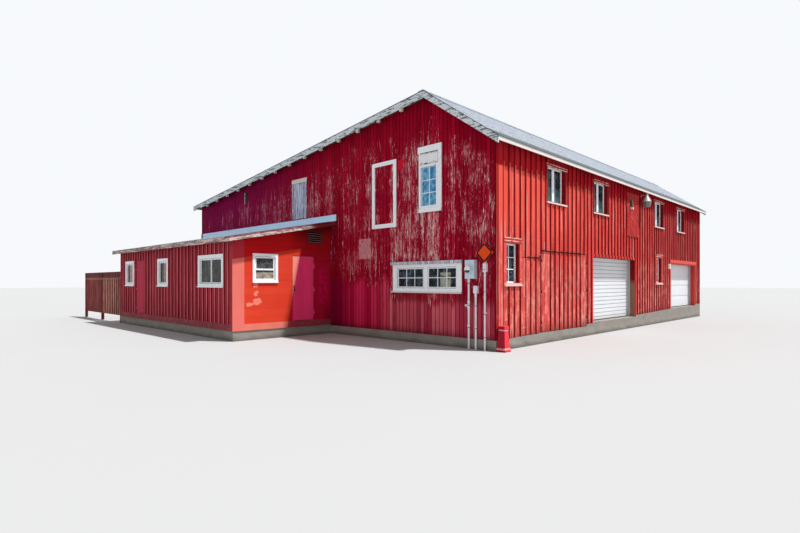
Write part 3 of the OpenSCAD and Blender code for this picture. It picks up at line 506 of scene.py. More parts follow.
footed = p.coats(
    p.mix(low_zone * 0.88, peeled, dusty),
    (foot_line * low_zone * p.fade(p.x, 4.4, 4.6) * 0.75, (110, 4, 18)),
    (peel_edge * low_zone * 0.4, wood),
    (pale_patch * p.fade(flecks, 0.42, 0.46) * 0.8, (214, 150, 156)),
    (bright_patch * 0.9, (206, 22, 52)),
    (grime * 0.7, (70, 18, 30)))
p.cover(footed, fine * 0.4 - peel_edge * 0.6, 0.0016)


def gable_siding(name, wall, foot, holes):
    """Boards from the foundation to the roof line, no two quite as far out."""
    piece = Piece(name)
    gap = 0.003
    for i in range(math.ceil(2 * half_w / gable_pitch)):
        u0 = -half_w + i * gable_pitch
        u1 = min(u0 + gable_pitch - gap, half_w)
        proud = 0.014 + chance.uniform(0, 0.004)
        high = lambda u: roof_line(wall.at(u, 0).x)
        for a, b, low, top in lengths(u0, u1, level(foot), high, holes):
            board(piece, wall, a, b, low, top, inside, proud, 0.003)
    piece.make([gable_paint])


lean_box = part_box("lean_to_front_wall")
lean_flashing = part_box("lean_to_flashing")
rake_foot = 3.565
past_flashing = 0.03
slot_hole = (-4.12, -3.88, 4.90, 5.38)
front_holes = spans(front_wall, "front_window_frames", "blank_frame", "loft_door") + [
    slot_hole,
    (lean_box[0].x, lean_box[1].x, 0, lean_flashing[1].z),
    (lean_flashing[0].x - past_flashing, lean_flashing[1].x + past_flashing, rake_foot, lean_flashing[1].z)]
gable_siding("front_gable_boards", front_wall, front_sill, front_holes)
gable_siding("rear_gable_boards", rear_wall, rear_sill, spans(rear_wall, "rear_window_frames"))


# Side walls: wide upright boards with a batten nailed over every joint, ten and a half inches apart.
# The sun has bleached the red to coral. The eaves' shadow is painted as a deep red band, and the battens'
# shaded sides and the shadow beside each batten are painted dark red.
side_pitch = 0.27
batten_w = 0.05
board_face = 0.009
batten_face = 0.034
first_joint = 0.30
before_front = 3
corner_board_w = 0.285
far_corner_w = 0.2
eave_shadow_edge = 4.62


def sill_at(y):
    """The height of the siding's foot, which climbs with the ground."""
    return front_sill + (rear_sill - front_sill) * min(max(y / barn_l, 0), 1)


def side_paint(name, eave_shade_above, batten_shadow_share=0.0, plain=()):
    """Bleached red, with the eaves' shadow painted deep red above a height, and a painted shadow line by each
    batten but in the plain stretches.
    """
    p = Paint(name, 0.8, 0.0, 0.04)
    along = p.y + before_front - first_joint
    # Painted shadow: a dark line beside each batten.
    batten_shadow = p.fade(p.from_middle(along - batten_w / 2, side_pitch), 0.285, 0.335)
    for low, high in plain:
        batten_shadow = batten_shadow * (1 - p.within(p.y, low, high))
    stretch = p.each(along, side_pitch)
    stretch_two = p.each(along, side_pitch, 17.5)
    streak = p.noise((1.0, 0.06, 1.6), 4.0, 0.6)
    flecks = p.noise((1.0, 0.03, 0.14), 3.0, 0.7)
    clouds = p.noise((1.0, 1.4, 0.9), 3.0)
    high_near = p.fade(p.y, 6.0, 1.5) * p.fade(p.z, 2.6, 3.4)
    low_zone = p.fade(p.z + clouds * 0.8, 3.2, 1.9)
    worn = p.mix(flecks, (190, 84, 78), (226, 136, 126))
    blotch = p.noise((1.0, 0.16, 0.35), 4.0, 0.65)
    soil = p.fade(p.z + streak * 0.25 - p.y * 0.021, 0.72, 0.34)
    coral = p.coats(
        p.mix(stretch, (194, 56, 52), (224, 86, 77)),
        (p.fade(p.y + clouds * 3, 5.0, 9.5) * 0.6, (184, 44, 40)),
        (p.fade(p.y + clouds * 4 + stretch_two * 2, 9.0, 19.0) * 0.8, (156, 60, 62)),
        (high_near * 0.6, (234, 90, 76)),
        (low_zone * p.fade(streak, 0.42, 0.60) * 0.75, worn),
        (low_zone * p.fade(blotch, 0.52, 0.58) * 0.55, (176, 74, 72)),
        (low_zone * p.fade(blotch, 0.47, 0.40) * 0.65, (232, 146, 136)),
        (p.fade(streak + flecks * 0.25, 0.68, 0.78) * 0.75, (224, 158, 148)),
        (p.fade(flecks + clouds * 0.2, 0.72, 0.78) * 0.7, (110, 26, 28)),
        (batten_shadow * batten_shadow_share, (108, 0, 8)),
        (soil * 0.6, (112, 36, 32)))
    # Painted shade: the eaves' shadow as a deep red band, reaching lower on the boards than on the battens.
    eave_shade_red = p.mix(stretch, (150, 1, 22), (178, 10, 36))
    edge = p.fade(p.z + stretch_two * 0.10, eave_shade_above + 0.02, eave_shade_above + 0.08)
    return p.cover(p.mix(edge * 0.88, coral, eave_shade_red), streak * 0.5 + flecks * 0.5, 0.0012)


side_boards = side_paint("side_boards", eave_shadow_edge, 0.75)
side_battens = side_paint("side_battens", eave_shadow_edge + 0.10)
# Painted shade: the sides of battens and boards are dark red.
shaded_side_paint = mottled("shaded_board_sides", (0.05, 0.05, 0.8), (96, 0, 4), (146, 6, 12), 0.001, gloss=0.03)


def board_and_batten(piece, wall, start, end, joints, low, high, holes=(), inner=inside,
                     faces=(board_face, batten_face), uneven=(0.0, 0.0), sides=(2, 2)):
    """Wide boards with a batten over each joint, cut round holes. Pairs are for boards, then battens."""
    edges = [start] + [j + batten_w / 2 for j in joints] + [end]
    battens = [(j, j + batten_w) for j in joints]
    for kind, strips in enumerate((zip(edges, edges[1:]), battens)):
        for u0, u1 in strips:
            face = faces[kind]
            if uneven[kind]:
                face += chance.uniform(-uneven[kind], uneven[kind])
            for a, b, foot, top in lengths(u0, u1, low, high, holes):
                board(piece, wall, a, b, foot, top, inner, face, (0.001, 0.003)[kind], kind, sides[kind])


def joints_along(start, end, inset=first_joint, end_inset=first_joint):
    """Where the battens begin on a wall, between a first and a last board of their own widths."""
    first = start + inset
    return [first + i * side_pitch for i in range(int((end - end_inset - first) / side_pitch) + 1)]


def side_siding(name, wall, start, end, foot, top, holes):
    """Boards and battens between two corner boards."""
    piece = Piece(name)
    board_and_batten(piece, wall, start, end, joints_along(start, end), foot, level(top), holes,
                     uneven=(0.002, 0.003))
    for a, b in ((start - batten_face, start + corner_board_w), (end - far_corner_w, end + batten_face)):
        board(piece, wall, a, b, foot, top, inside, batten_face + 0.004, 0.003, 0, 2)
    piece.make([side_boards, side_battens, shaded_side_paint])


walk_span = garage_wall.span(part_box("walk_door"))
left_leaf_span = garage_wall.span(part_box("barn_door_left"))
right_leaf_span = garage_wall.span(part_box("barn_door_right"))
door_foot = 0.2
barrel = 0.015
leaf_gap = 0.010
barrel_clear = 0.006
side_gap = 0.009
walk_hole = (walk_span[0] - barrel_clear, walk_span[1] + side_gap, door_foot, walk_span[3] + leaf_gap)
barn_hole = (left_leaf_span[0] - barrel_clear, right_leaf_span[1] + barrel_clear, door_foot,
             left_leaf_span[3] + leaf_gap)
garage_holes = spans(garage_wall, "right_window_frames", "garage_frames", "plywood_patch", "wall_boxes")
side_siding("garage_side_boards", garage_wall, 0.0, barn_l, sill_at, right_top + 0.02,
            garage_holes + [walk_hole, barn_hole])
side_siding("left_side_boards", left_side, -barn_l, 0.0, lambda u: sill_at(-u), left_top + 0.01,
            spans(left_side, "left_window_frames"))


# Roof: corrugated sheet nailed to the deck, dull grey with dark specks. The long slope takes five rows,
# which lap at each joint, and the short one a single row. A folded cap covers the ridge.
roof_paint = p = Paint("weathered_sheet", 0.55, 0.2, 0.25)
speck = p.noise((0.05, 0.11, 0.05), 3.0, 0.7)
bloom = p.noise((0.9, 0.5, 0.5))
sheet_tone = p.each(p.y, 0.68)
eave_strip = p.fade(p.x, half_w - 0.12, half_w - 0.06)
roof_grey = p.coats(
    p.mix(bloom, (122, 132, 142), (148, 158, 168)),
    (sheet_tone * 0.4, (132, 134, 140)),
    (eave_strip * 0.92, (48, 64, 66)),
    (p.fade(speck, 0.52, 0.60) * 0.75, (78, 70, 82)))
p.cover(roof_grey, speck, 0.001, p.fade(bloom, 0.2, 0.8) * 0.25 + 0.42)

metal_low, metal_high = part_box("roof_metal")
metal_t = 0.02
wave_pitch = 0.0762
wave_steps = 6
sheet_t = 0.0016
roof_peak = metal_high.z


def corrugated(name, runs, place, u0, u1, replaces=()):
    """A wavy sheet in runs down a slope. place makes a point of a width, a run and a rise."""
    piece = Piece(name)
    columns = int((u1 - u0) / wave_pitch * wave_steps)
    wave = (metal_t - 2 * sheet_t) / 2 - 0.001
    for v0, v1 in runs:
        start = len(piece.points)
        for i in range(columns + 1):
            u = u0 + (u1 - u0) * i / columns
            dip = wave * (1 - math.cos(2 * math.pi * i / wave_steps)) + 0.001
            edges = [place(u, v, -dip - drop) for v in (v0, v1) for drop in (0, sheet_t)]
            piece.points += edges + edges
        for i in range(columns):
            a = start + 8 * i
            for q in ((0, 8, 10, 2), (1, 3, 11, 9), (4, 5, 13, 12), (6, 14, 15, 7)):
                piece.faces.append(tuple(a + k for k in q))
                piece.paints.append(0)
        start += 4
        last = start + 8 * columns
        for q in ((start, start + 2, start + 3, start + 1), (last, last + 1, last + 3, last + 2)):
            piece.faces.append(q)
            piece.paints.append(0)
    piece.make([roof_paint], smooth=True, replaces=replaces)


def metal_top(x):
    """The height of the sheets' upper side."""
    rise = slope_right if x > ridge.x else slope_left
    return roof_peak - abs(x - ridge.x) * rise


sheets = 5
left_run = (ridge.x - metal_low.x) / sheets
lap = 0.12
stretches = [(metal_low.x + i * left_run, metal_low.x + (i + 1) * left_run + (lap if i < sheets - 1 else 0))
             for i in range(sheets)]
stretches.append((metal_high.x, ridge.x))
corrugated("roof_sheets", stretches, lambda u, v, rise: (v, u, metal_top(v) + rise),
           metal_low.y, metal_high.y, ["roof_metal"])
dress(roof_paint, "ridge_cap")


# Roof edges: planed boards nailed to the deck's ends, once white, peeling to grey wood in long patches.
# The purlins' cream ends show under the gable overhangs, and the rest of each purlin is painted dark as
# shade.
white_trim = p = Paint("peeling_white", 0.7)
flake = p.noise((0.42, 0.12, 0.06), 5.0, 0.72)
fine_flake = p.noise((0.06, 0.05, 0.03), 4.0, 0.7)
chalk = p.mix(p.noise((0.6, 0.6, 0.6)), (196, 208, 216), (234, 239, 241))
worn_wood = p.mix(fine_flake, (44, 54, 64), (122, 122, 122))
flaked = p.fade(flake * 0.7 + fine_flake * 0.3, 0.525, 0.545)
p.cover(p.mix(flaked, chalk, worn_wood), 1 - flaked, 0.0012)
dress(white_trim, "barge_boards")

p = Paint("eave_white", 0.6)
eave_chips = p.fade(p.noise((0.5, 0.16, 0.05), 5.0, 0.7), 0.66, 0.70)
p.cover(p.mix(eave_chips * 0.7, p.mix(p.noise((1, 0.8, 1)), (216, 206, 200), (230, 226, 222)),
              (150, 112, 104)), 1 - eave_chips, 0.001)
dress(p, "eave_fascias")

bare_boards = p = Paint("bare_grey_boards", 0.85)
long_grain = p.noise((0.012, 0.05, 0.5), 5.0, 0.65)
left_paint = p.fade(p.noise((0.10, 0.10, 0.45), 5.0, 0.7), 0.50, 0.56)
bare = p.mix(p.fade(long_grain, 0.36, 0.62), (116, 114, 128), (236, 240, 242))
p.cover(p.mix(left_paint * 0.7, bare, p.mix(long_grain, (146, 92, 120), (168, 152, 176))),
        long_grain, 0.002)

end_grain = (0.02, 0.2, 0.02)
cream_tones = (198, 182, 166), (244, 234, 222)
cream = mottled("cream_ends", end_grain, *cream_tones, 0.001, 0.75)

p = Paint("purlins", 0.8)
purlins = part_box("purlin_ends")
tip_l = 0.08
tip = p.highest(p.y < purlins[0].y + tip_l, p.y > purlins[1].y - tip_l)
purlin_grain = p.noise(end_grain)
# Painted shade: dark red-brown away from the cream tips.
p.cover(p.mix(tip, p.mix(purlin_grain, (92, 14, 24), (136, 40, 46)),
              p.mix(purlin_grain, *cream_tones)), purlin_grain, 0.001)
dress(p, "purlin_ends")


# Barn windows: wooden sashes in lined holes. The gable's frames are white and flaking. On the sides
# the casings are painted with the wall, the reveals are dark red as painted shade, and only the sashes and
# sills are white.
window_white = p = Paint("sash_white", 0.6)
chips = p.fade(p.noise((0.05, 0.05, 0.05), 5.0, 0.75), 0.60, 0.64)
dust = p.noise((0.3, 0.3, 0.3))
p.cover(p.mix(chips * 0.65, p.mix(dust, (234, 242, 250), (254, 255, 255)), (122, 116, 118)),
        1 - chips, 0.0008)
dress(window_white, "front_window_frames", "blank_frame", "lean_to_window_frames")

p = Paint("side_window_frames", 0.7)
distance = abs(p.x)
sash_zone = distance < half_w - 0.100
sill_zone = distance > half_w + 0.0325
grain = p.noise((0.04, 0.04, 0.4))
pale = p.mix(grain, (214, 196, 190), (226, 214, 208))
rubbed = p.noise((0.2, 0.18, 0.04), 4.0, 0.7)
face_zone = (distance > half_w - 0.003) * p.fade(p.z, 3.2, 3.0)
ledge_foot = min(box[0].z for box in solids("right_window_frames"))
ledge = (p.z < ledge_foot + 0.075) * (distance > half_w - 0.097)
# Painted shade: the reveals are dark red.
shaded_reveal_reds = (110, 4, 12), (154, 20, 28)
lower_casing = p.mix(grain, (200, 62, 56), (220, 98, 88))
upper_casing = p.mix(grain, (126, 16, 26), (164, 38, 44))
casing = p.coats(
    p.mix(p.fade(p.z, 3.0, 3.2), lower_casing, upper_casing),
    (distance < half_w - 0.003, p.mix(grain, *shaded_reveal_reds)),
    (sill_zone, pale),
    (p.fade(rubbed, 0.56, 0.66) * face_zone * 0.6, (236, 170, 158)),
    (ledge * 0.85, p.mix(grain, (226, 160, 152), (244, 204, 196))),
    (sash_zone, p.mix(grain, (238, 244, 252), (255, 255, 250))))
p.cover(casing, grain, 0.0008)
dress(p, "right_window_frames", "left_window_frames")

p = Paint("rear_window_frames", 0.7)
grain = p.noise((0.04, 0.04, 0.4))
inner_zone = p.y < barn_l - 0.100
casing = p.mix(p.y < barn_l - 0.003, p.mix(grain, (196, 196, 196), (232, 232, 230)),
               p.mix(grain, *shaded_reveal_reds))
p.cover(p.mix(inner_zone, casing, p.mix(grain, (208, 218, 226), (240, 240, 240))), grain, 0.0008)
dress(p, "rear_window_frames")

# Glass: the glints, the grey with glints on the lean-to's side panes, the sky in the upper front panes and
# the lighter teal low in the upper panes are painted reflections.
glass = p = Paint("dusty_glass", 0.08, 0.0, 0.14, IOR=1.5, Alpha=0.92)
smear = p.noise((0.35, 0.35, 0.22), 5.0, 0.65)
lower_smear = p.noise((0.10, 0.10, 0.16), 4.0, 0.7)
painted_glints = p.noise((0.05, 0.05, 0.06), 3.0, 0.6)
sky_reflection = p.mix(p.fade(lower_smear, 0.35, 0.62), (44, 118, 168), (120, 190, 226))
high_front = (p.z > 3.5) * (p.y < 0.3)
curtain = p.within(p.x, 6.25, 6.60) * p.within(p.y, -0.5, 0.3) * p.within(p.z, 1.5, 1.95)
low_rooms = p.y < -0.5
netting = p.fade(p.noise((0.03, 0.03, 0.5), 3.0, 0.6), 0.50, 0.64)
cloth_edge = p.fade(p.x, -3.55, -3.50) * (p.x < -3.0) + p.fade(p.x, -7.02, -6.97) * (p.x < -6.4)
blind = (p.x > 1.3) * p.fade(p.z, 2.00, 1.97)
folds = p.fade(p.maths("SINE", (p.x * 2 + p.z) * 26 + lower_smear * 5), -0.2, 0.3)
olive = p.coats(
    p.mix(p.fade(smear * 0.5 + lower_smear * 0.5, 0.44, 0.62), (14, 18, 14), (62, 66, 52)),
    (netting * p.within(p.x, -2.6, 1.0) * 0.6, (120, 124, 112)),
    ((p.x > 1.3) * 0.6, p.mix(p.fade(painted_glints, 0.42, 0.60), (72, 72, 76), (120, 122, 126))),
    (cloth_edge * 0.85, p.mix(folds, (156, 34, 30), (200, 170, 160))),
    (blind * 0.75, p.mix(p.fade(smear, 0.4, 0.6), (120, 112, 100), (196, 184, 166))))
teal = p.coats(
    p.mix(p.fade(smear * 0.6 + lower_smear * 0.4, 0.42, 0.66), (8, 14, 22), (66, 84, 92)),
    (p.fade(painted_glints + smear * 0.2, 0.70, 0.76) * 0.7, (128, 160, 196)),
    (p.fade(p.z + lower_smear * 0.3, 4.62, 4.50) * (p.z > 3.5) * 0.6, (92, 128, 128)),
    (curtain * p.fade(smear, 0.35, 0.5) * 0.7, (196, 196, 176)),
    (low_rooms, olive),
    (high_front, sky_reflection))
p.cover(teal)
dress(glass, "barn_window_glass", "lean_to_glass")

bar_w = 0.022
bar_out = 0.012


def bars(piece, wall, box, columns, rows):
    """The bars that divide one pane into smaller ones, standing on the glass."""
    u0, u1, z0, z1 = wall.span(box)
    face = wall.depth(box)[1]
    for i in range(1, columns):
        u = u0 + (u1 - u0) * i / columns
        board(piece, wall, u - bar_w / 2, u + bar_w / 2, z0, z1, face - 0.002, face + bar_out, 0.004)
    for i in range(1, rows):
        z = z0 + (z1 - z0) * i / rows
        rail(piece, wall, u0, u1, z - bar_w / 2, z + bar_w / 2, face - 0.001, face + bar_out - 0.001, 0.004)


panes = solids("barn_window_glass")
upper_row = 3.0
stile_w = 0.13
stile_inset = 0.10
sash_bars = Piece("sash_bars")
for box in panes:
    middle = (box[0] + box[1]) / 2
    if middle.y < near_end:
        columns, rows = (2, 3) if middle.z > upper_row else (3, 2)
        bars(sash_bars, front_wall, box, columns, rows)
    elif middle.z < upper_row:
        wall = rear_wall if middle.y > barn_l - near_end else garage_wall if middle.x > 0 else left_side
        bars(sash_bars, wall, box, 2, 3)
side_frames = [(garage_wall, span) for span in spans(garage_wall, "right_window_frames")]
side_frames += [(left_side, span) for span in spans(left_side, "left_window_frames")]
rear_frames = [(rear_wall, span) for span in spans(rear_wall, "rear_window_frames")]
for wall, (u0, u1, z0, z1) in side_frames + rear_frames:
    if z0 > upper_row:
        middle = (u0 + u1) / 2
        board(sash_bars, wall, middle - stile_w / 2, middle + stile_w / 2, z0 + stile_inset,
              z1 - stile_inset, -0.115, -0.090, 0.004)
sash_bars.make([window_white])

head_boards = Piece("window_head_boards")
for wall, (u0, u1, z0, z1) in side_frames:
    if z0 > upper_row:
        rail(head_boards, wall, u0 - 0.02, u1 + 0.02, z1 + 0.001, z1 + 0.15, inside,
             batten_face + 0.010, 0.004, 0, 1)
head_boards.make([side_boards, shaded_side_paint])

edge_paint = p = Paint("worn_board_edges", 0.75)
rubbed = p.fade(p.noise((0.1, 0.14, 0.1), 4.0, 0.7), 0.40, 0.54)
p.cover(p.mix(rubbed, (170, 50, 50), (240, 206, 190)), rubbed, 0.0008)
head_edges = Piece("window_head_edges")
for wall, (u0, u1, z0, z1) in side_frames:
    for down in (0.100, 0.038) if z0 > upper_row else (0.085, 0.012):
        rail(head_edges, wall, u0 - 0.015, u1 + 0.015, z1 - down, z1 - down + 0.016, inside,
             batten_face + 0.020, 0.002)
head_edges.make([edge_paint])


def outline(piece, wall, box, gap, width, out):
    """A narrow dark joint all round one sash, at a distance from its pane."""
    u0, u1, z0, z1 = wall.span(box)
    a, b, c, d = u0 - gap, u1 + gap, z0 - gap, z1 + gap
    for low, high in ((c, c + width), (d - width, d)):
        rail(piece, wall, a, b, low, high, out - 0.003, out, 0.0005)
    for low, high in ((a, a + width), (b - width, b)):
        board(piece, wall, low, high, c + width, d - width, out - 0.003, out, 0.0005)


joint_paint = mottled("dark_joint", (0.1, 0.1, 0.1), (44, 40, 44), (74, 66, 68))
joint_out = -0.0132
sash_joints = Piece("sash_joints")
for box in panes:
    if box[0].y < near_end:
        outline(sash_joints, front_wall, box, 0.013 if box[0].z > upper_row else 0.037, 0.007, joint_out)

tall, ribbon = sorted(spans(front_wall, "front_window_frames"), key=lambda span: -span[2])
fitted("gable_head_boards", front_wall, [bare_boards, cream], [
    (ribbon[0] - 0.05, ribbon[1] + 0.03, ribbon[3] - 0.035, ribbon[3] + 0.050, inside, 0.090, 0.004),
    (ribbon[0] - 0.05, ribbon[1] + 0.01, ribbon[2] - 0.020, ribbon[2] + 0.018, inside, 0.070, 0.004, 1)])

casing_face = 0.032
sunk = casing_face - 0.002
left_post = (tall[0], tall[0] + 0.045)
right_post = (tall[1] - 0.115, tall[1])
sill_top = tall[2] + 0.10
panel_low, panel_high = tall[2] + 1.30, tall[3] - 0.15
fitted("tall_window_surround", front_wall, [window_white], [
    (tall[0] - 0.012, tall[1] + 0.012, panel_high, tall[3] + 0.02, sunk, 0.070, 0.005),
    (tall[0], tall[1], tall[2] - 0.012, sill_top, sunk, 0.060, 0.005),
    (left_post[1], right_post[0], panel_low - 0.06, panel_low, sunk, casing_face + 0.010)],
    [(*post, sill_top, panel_high, sunk, casing_face + 0.014) for post in (left_post, right_post)])

joint_w = 0.014
joint_face = casing_face + 0.005
panel_left, panel_right = left_post[1] + 0.001, right_post[0] - 0.001
# Dark lines under the head and beside the right post: joints, and painted shadow of the head and the post.
fitted("tall_window_shadow_lines", front_wall, [joint_paint],
       [(panel_left, panel_right, panel_high - joint_w, panel_high - 0.001, sunk, joint_face, 0.001)],
       [(panel_right - joint_w, panel_right, panel_low, panel_high - joint_w, sunk, joint_face, 0.001)])

marks = p = Paint("panel_marks", 0.75)
near_rims = p.highest(p.fade(p.z, panel_low + 0.12, panel_low + 0.02),
                      p.fade(p.z, panel_high - 0.09, panel_high - 0.02))
mark_noise = p.noise((0.07, 0.05, 0.016), 5.0, 0.7)
mark = p.fade(mark_noise + near_rims * 0.16, 0.655, 0.685)
p.cover(p.mix(mark, p.mix(p.noise((0.2, 0.2, 0.2)), (226, 228, 230), (246, 248, 250)), (52, 44, 46)),
        1 - mark, 0.0008)
fitted("tall_window_panel", front_wall, [marks],
       [(panel_left, panel_right, panel_low + 0.001, panel_high - 0.001, sunk, casing_face + 0.003, 0.001)])


# Closed openings of the gable: a blank frame filled with siding, and the loft's door of grey boards.
# Beside them a short slot is cut through the siding, with one light board behind it.
loft_planks = p = Paint("loft_planks", 0.85, 0.0, 0.05)
plank_grain = p.noise((0.014, 0.05, 0.45), 4.0, 0.65)
plank_tone = p.each(p.x + far_left, 0.125)
plank_edge = p.fade(p.from_middle(p.x + 0.61, 0.1233), 0.40, 0.47)
plank_grey = p.mix(p.fade(plank_grain, 0.44, 0.58), p.mix(plank_tone, (96, 84, 132), (152, 156, 192)),
                   (236, 242, 252))
p.cover(p.mix(plank_edge * 0.8, plank_grey, (64, 44, 78)), plank_grain, 0.002)
dress(loft_planks, "loft_door")


def boards_between(piece, wall, u0, u1, z0, z1, pitch, inner, outer, gap=0.004):
    """Upright boards side by side that fill a rectangle."""
    count = max(1, round((u1 - u0) / pitch))
    width = (u1 - u0 + gap) / count
    for i in range(count):
        a = u0 + i * width
        board(piece, wall, a, a + width - gap, z0, z1, inner, outer + chance.uniform(-0.0015, 0.0015))


loft = (-0.610, 0.150, 3.950, 5.215)
loft_face = 0.016
jamb_w = 0.06
loft_door_boards = Piece("loft_door_boards")
boards_between(loft_door_boards, front_wall, loft[0] + 0.01, loft[1] - 0.01, loft[2] + 0.01, loft[3] - 0.005,
               0.13, loft_face - 0.004, loft_face + 0.012)
loft_door_boards.make([loft_planks])

fitted("loft_door_trim", front_wall, [loft_planks], (),
       [(u0, u1, loft[2] - 0.02, loft[3], inside, 0.034)
        for u0, u1 in ((loft[0] - jamb_w, loft[0]), (loft[1], loft[1] + 0.045))])
fitted("loft_door_head", front_wall, [cream],
       [(loft[0] - jamb_w, loft[1] + 0.09, loft[3] + 0.01, loft[3] + 0.15, 0.030, 0.052)])

blank = front_wall.span(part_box("blank_frame"))
blank_edge = 0.12
blank_boards = Piece("blank_frame_boards")
boards_between(blank_boards, front_wall, blank[0] + blank_edge, blank[1] - blank_edge,
               blank[2] + blank_edge, blank[3] - blank_edge, gable_pitch, inside, 0.012, 0.003)
blank_boards.make([gable_paint])

fitted("slot_boards", front_wall, [white_trim], (), [
    (slot_hole[0] + 0.10, slot_hole[1] - 0.004, slot_hole[2] + 0.04, slot_hole[3] - 0.06, -0.10, -0.085),
    (slot_hole[0] - 0.012, slot_hole[0] + 0.004, slot_hole[2], slot_hole[3], 0.0, 0.024)])


# Plywood patch: a sheet screwed over an old opening between two windows, painted with the wall.
# It faded less than the boards around it.
p = Paint("patch_red", 0.72)
brush = p.noise((0.3, 0.05, 0.5), 4.0)
rub = p.fade(p.noise((0.2, 0.06, 0.16), 5.0, 0.7), 0.54, 0.62)
patch_red = p.coats(
    p.mix(p.fade(brush, 0.35, 0.65), (142, 16, 22), (186, 42, 40)),
    (p.fade(p.noise((0.3, 0.04, 1.2), 3.0), 0.56, 0.62) * 0.7, (110, 14, 20)),
    (rub * 0.5, (214, 110, 98)))
p.cover(patch_red, brush, 0.001)
dress(p, "plywood_patch")


# Garage openings: plank linings set deep in the wall, with a steel track and a rubber stop inside.
# The first is lined in dark red and bare brown boards, the second in the wall's coral. Both are closed
# by doors of white steel sheet.
garage_frame_paint = p = Paint("garage_linings", 0.75)
first_garage, second_garage = solids("garage_frames")
between = (first_garage[1].y + second_garage[0].y) / 2
lining_grain = p.noise((0.04, 0.04, 0.5), 4.0)
second = p.y > between
outer_face = p.x > half_w - 0.004
red_lining = p.mix(lining_grain, (110, 6, 14), (146, 20, 24))
brown_lining = p.mix(lining_grain, (104, 70, 56), (168, 126, 104))
first_lining = p.mix(p.fade(p.z + lining_grain * 0.3, 2.0, 1.7), red_lining, brown_lining)
second_lining = p.mix(lining_grain, (186, 44, 42), (210, 76, 68))
outer = p.mix(second, p.mix(lining_grain, (186, 40, 36), (206, 62, 54)),
              p.mix(lining_grain, (200, 66, 60), (222, 98, 88)))
head_h = 0.097
along = p.from_middle(p.y + before_front - first_joint - batten_w / 2, side_pitch)
first_head = (p.z > first_garage[1].z - head_h) * (p.y < between)
# Painted shadow beside each batten over the first door's head.
outer = p.mix(first_head * p.fade(along, 0.345, 0.405) * 0.85, outer, (96, 10, 16))
linings = p.coats(
    p.mix(second, first_lining, second_lining),
    ((p.x < half_w - 0.175) * 0.9, p.mix(lining_grain, (172, 176, 180), (206, 208, 210))),
    (outer_face, outer))
p.cover(linings, lining_grain, 0.001)
dress(garage_frame_paint, "garage_frames")

first_face = garage_wall.depth(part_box("garage_door_1"))[1] + half_w
p = Paint("white_sheet", 0.42, 0.0, 0.3)
film = p.noise((0.8, 0.8, 0.5), 4.0)
splash = p.fade(p.z + film * 0.35, 0.85, 0.5)
# Painted shade in the grooves between the first door's ribs.
groove_shade = (p.x < first_face - 0.0025) * (p.y < between)
white_tone = p.coats(
    p.mix(p.y > between, p.mix(film, (214, 216, 222), (232, 234, 236)),
          p.mix(film, (212, 216, 222), (230, 232, 236))),
    (groove_shade * 0.6, (122, 128, 138)),
    (splash * 0.35, (160, 156, 150)))
p.cover(white_tone, film, 0.0004)
dress(p, "garage_door_1", "garage_door_2")

track_paint = mottled("galvanized_track", (0.2, 0.2, 0.2), (168, 176, 184), (206, 210, 214), None, 0.45, 0.35)
rubber = mottled("grey_rubber", (0.1, 0.1, 0.1), (58, 60, 64), (86, 88, 92))
tracks = Piece("garage_door_tracks")
seams = Piece("garage_door_seams")
track_w = 0.055
edge = 0.048 + 0.024
for door, box in (("garage_door_1", first_garage), ("garage_door_2", second_garage)):
    face = garage_wall.depth(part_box(door))[1]
    u0, u1, z0, z1 = garage_wall.span(box)
    for low, high in ((u0 + edge + 0.001, u0 + edge + track_w), (u1 - edge - track_w, u1 - edge - 0.001)):
        board(tracks, garage_wall, low, high, z0 + 0.002, z1 - edge - 0.03,
              face + 0.002, face + 0.030)
    rail(seams, garage_wall, u0 + 0.13, u1 - 0.13, z0 + 0.001, z0 + 0.035, face - 0.012, face + 0.006)
tracks.make([track_paint])
seams.make([rubber])

first_span = garage_wall.span(first_garage)
second_span = garage_wall.span(second_garage)
handle_left = second_span[0] + 0.60
handle_face = garage_wall.depth(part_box("garage_door_2"))[1]
fitted("garage_handle", garage_wall, [rubber],
       [(handle_left, handle_left + 0.16, 1.24, 1.33, handle_face - 0.002, handle_face + 0.035)])
fitted("garage_head_board", garage_wall, [garage_frame_paint],
       [(second_span[0] - 0.06, second_span[1] + 0.10, second_span[3] - 0.05, second_span[3] + 0.085,
         inside, batten_face + 0.018, 0.004)])

fitted("garage_head_battens", garage_wall, [side_battens], (),
       [(joint, joint + batten_w, first_span[3] - head_h, first_span[3] + 0.001, 0.030, 0.060)
        for joint in joints_along(0.0, barn_l) if first_span[0] + 0.02 < joint < first_span[1] - 0.07])

fascia_wood = p = Paint("chipped_edges", 0.8)
edge_chip = p.fade(p.noise((0.1, 0.16, 0.05), 4.0, 0.7), 0.52, 0.58)
p.cover(p.mix(edge_chip, (66, 26, 28), (164, 96, 88)), edge_chip, 0.001)
fitted("barn_door_drips", garage_wall, [fascia_wood], [
    (left_leaf_span[0] - 0.02, right_leaf_span[1] - 0.35, barn_hole[3] + 0.012, barn_hole[3] + 0.022,
     inside, 0.050, 0.002),
    (walk_span[0] + 0.30, walk_span[1] + 0.12, walk_hole[3] + 0.012, walk_hole[3] + 0.021,
     inside, 0.048, 0.002)],
    [(walk_span[1] + 0.075, walk_span[1] + 0.105, walk_hole[3] - 0.09, walk_hole[3] + 0.14,
      batten_face, batten_face + 0.012)])


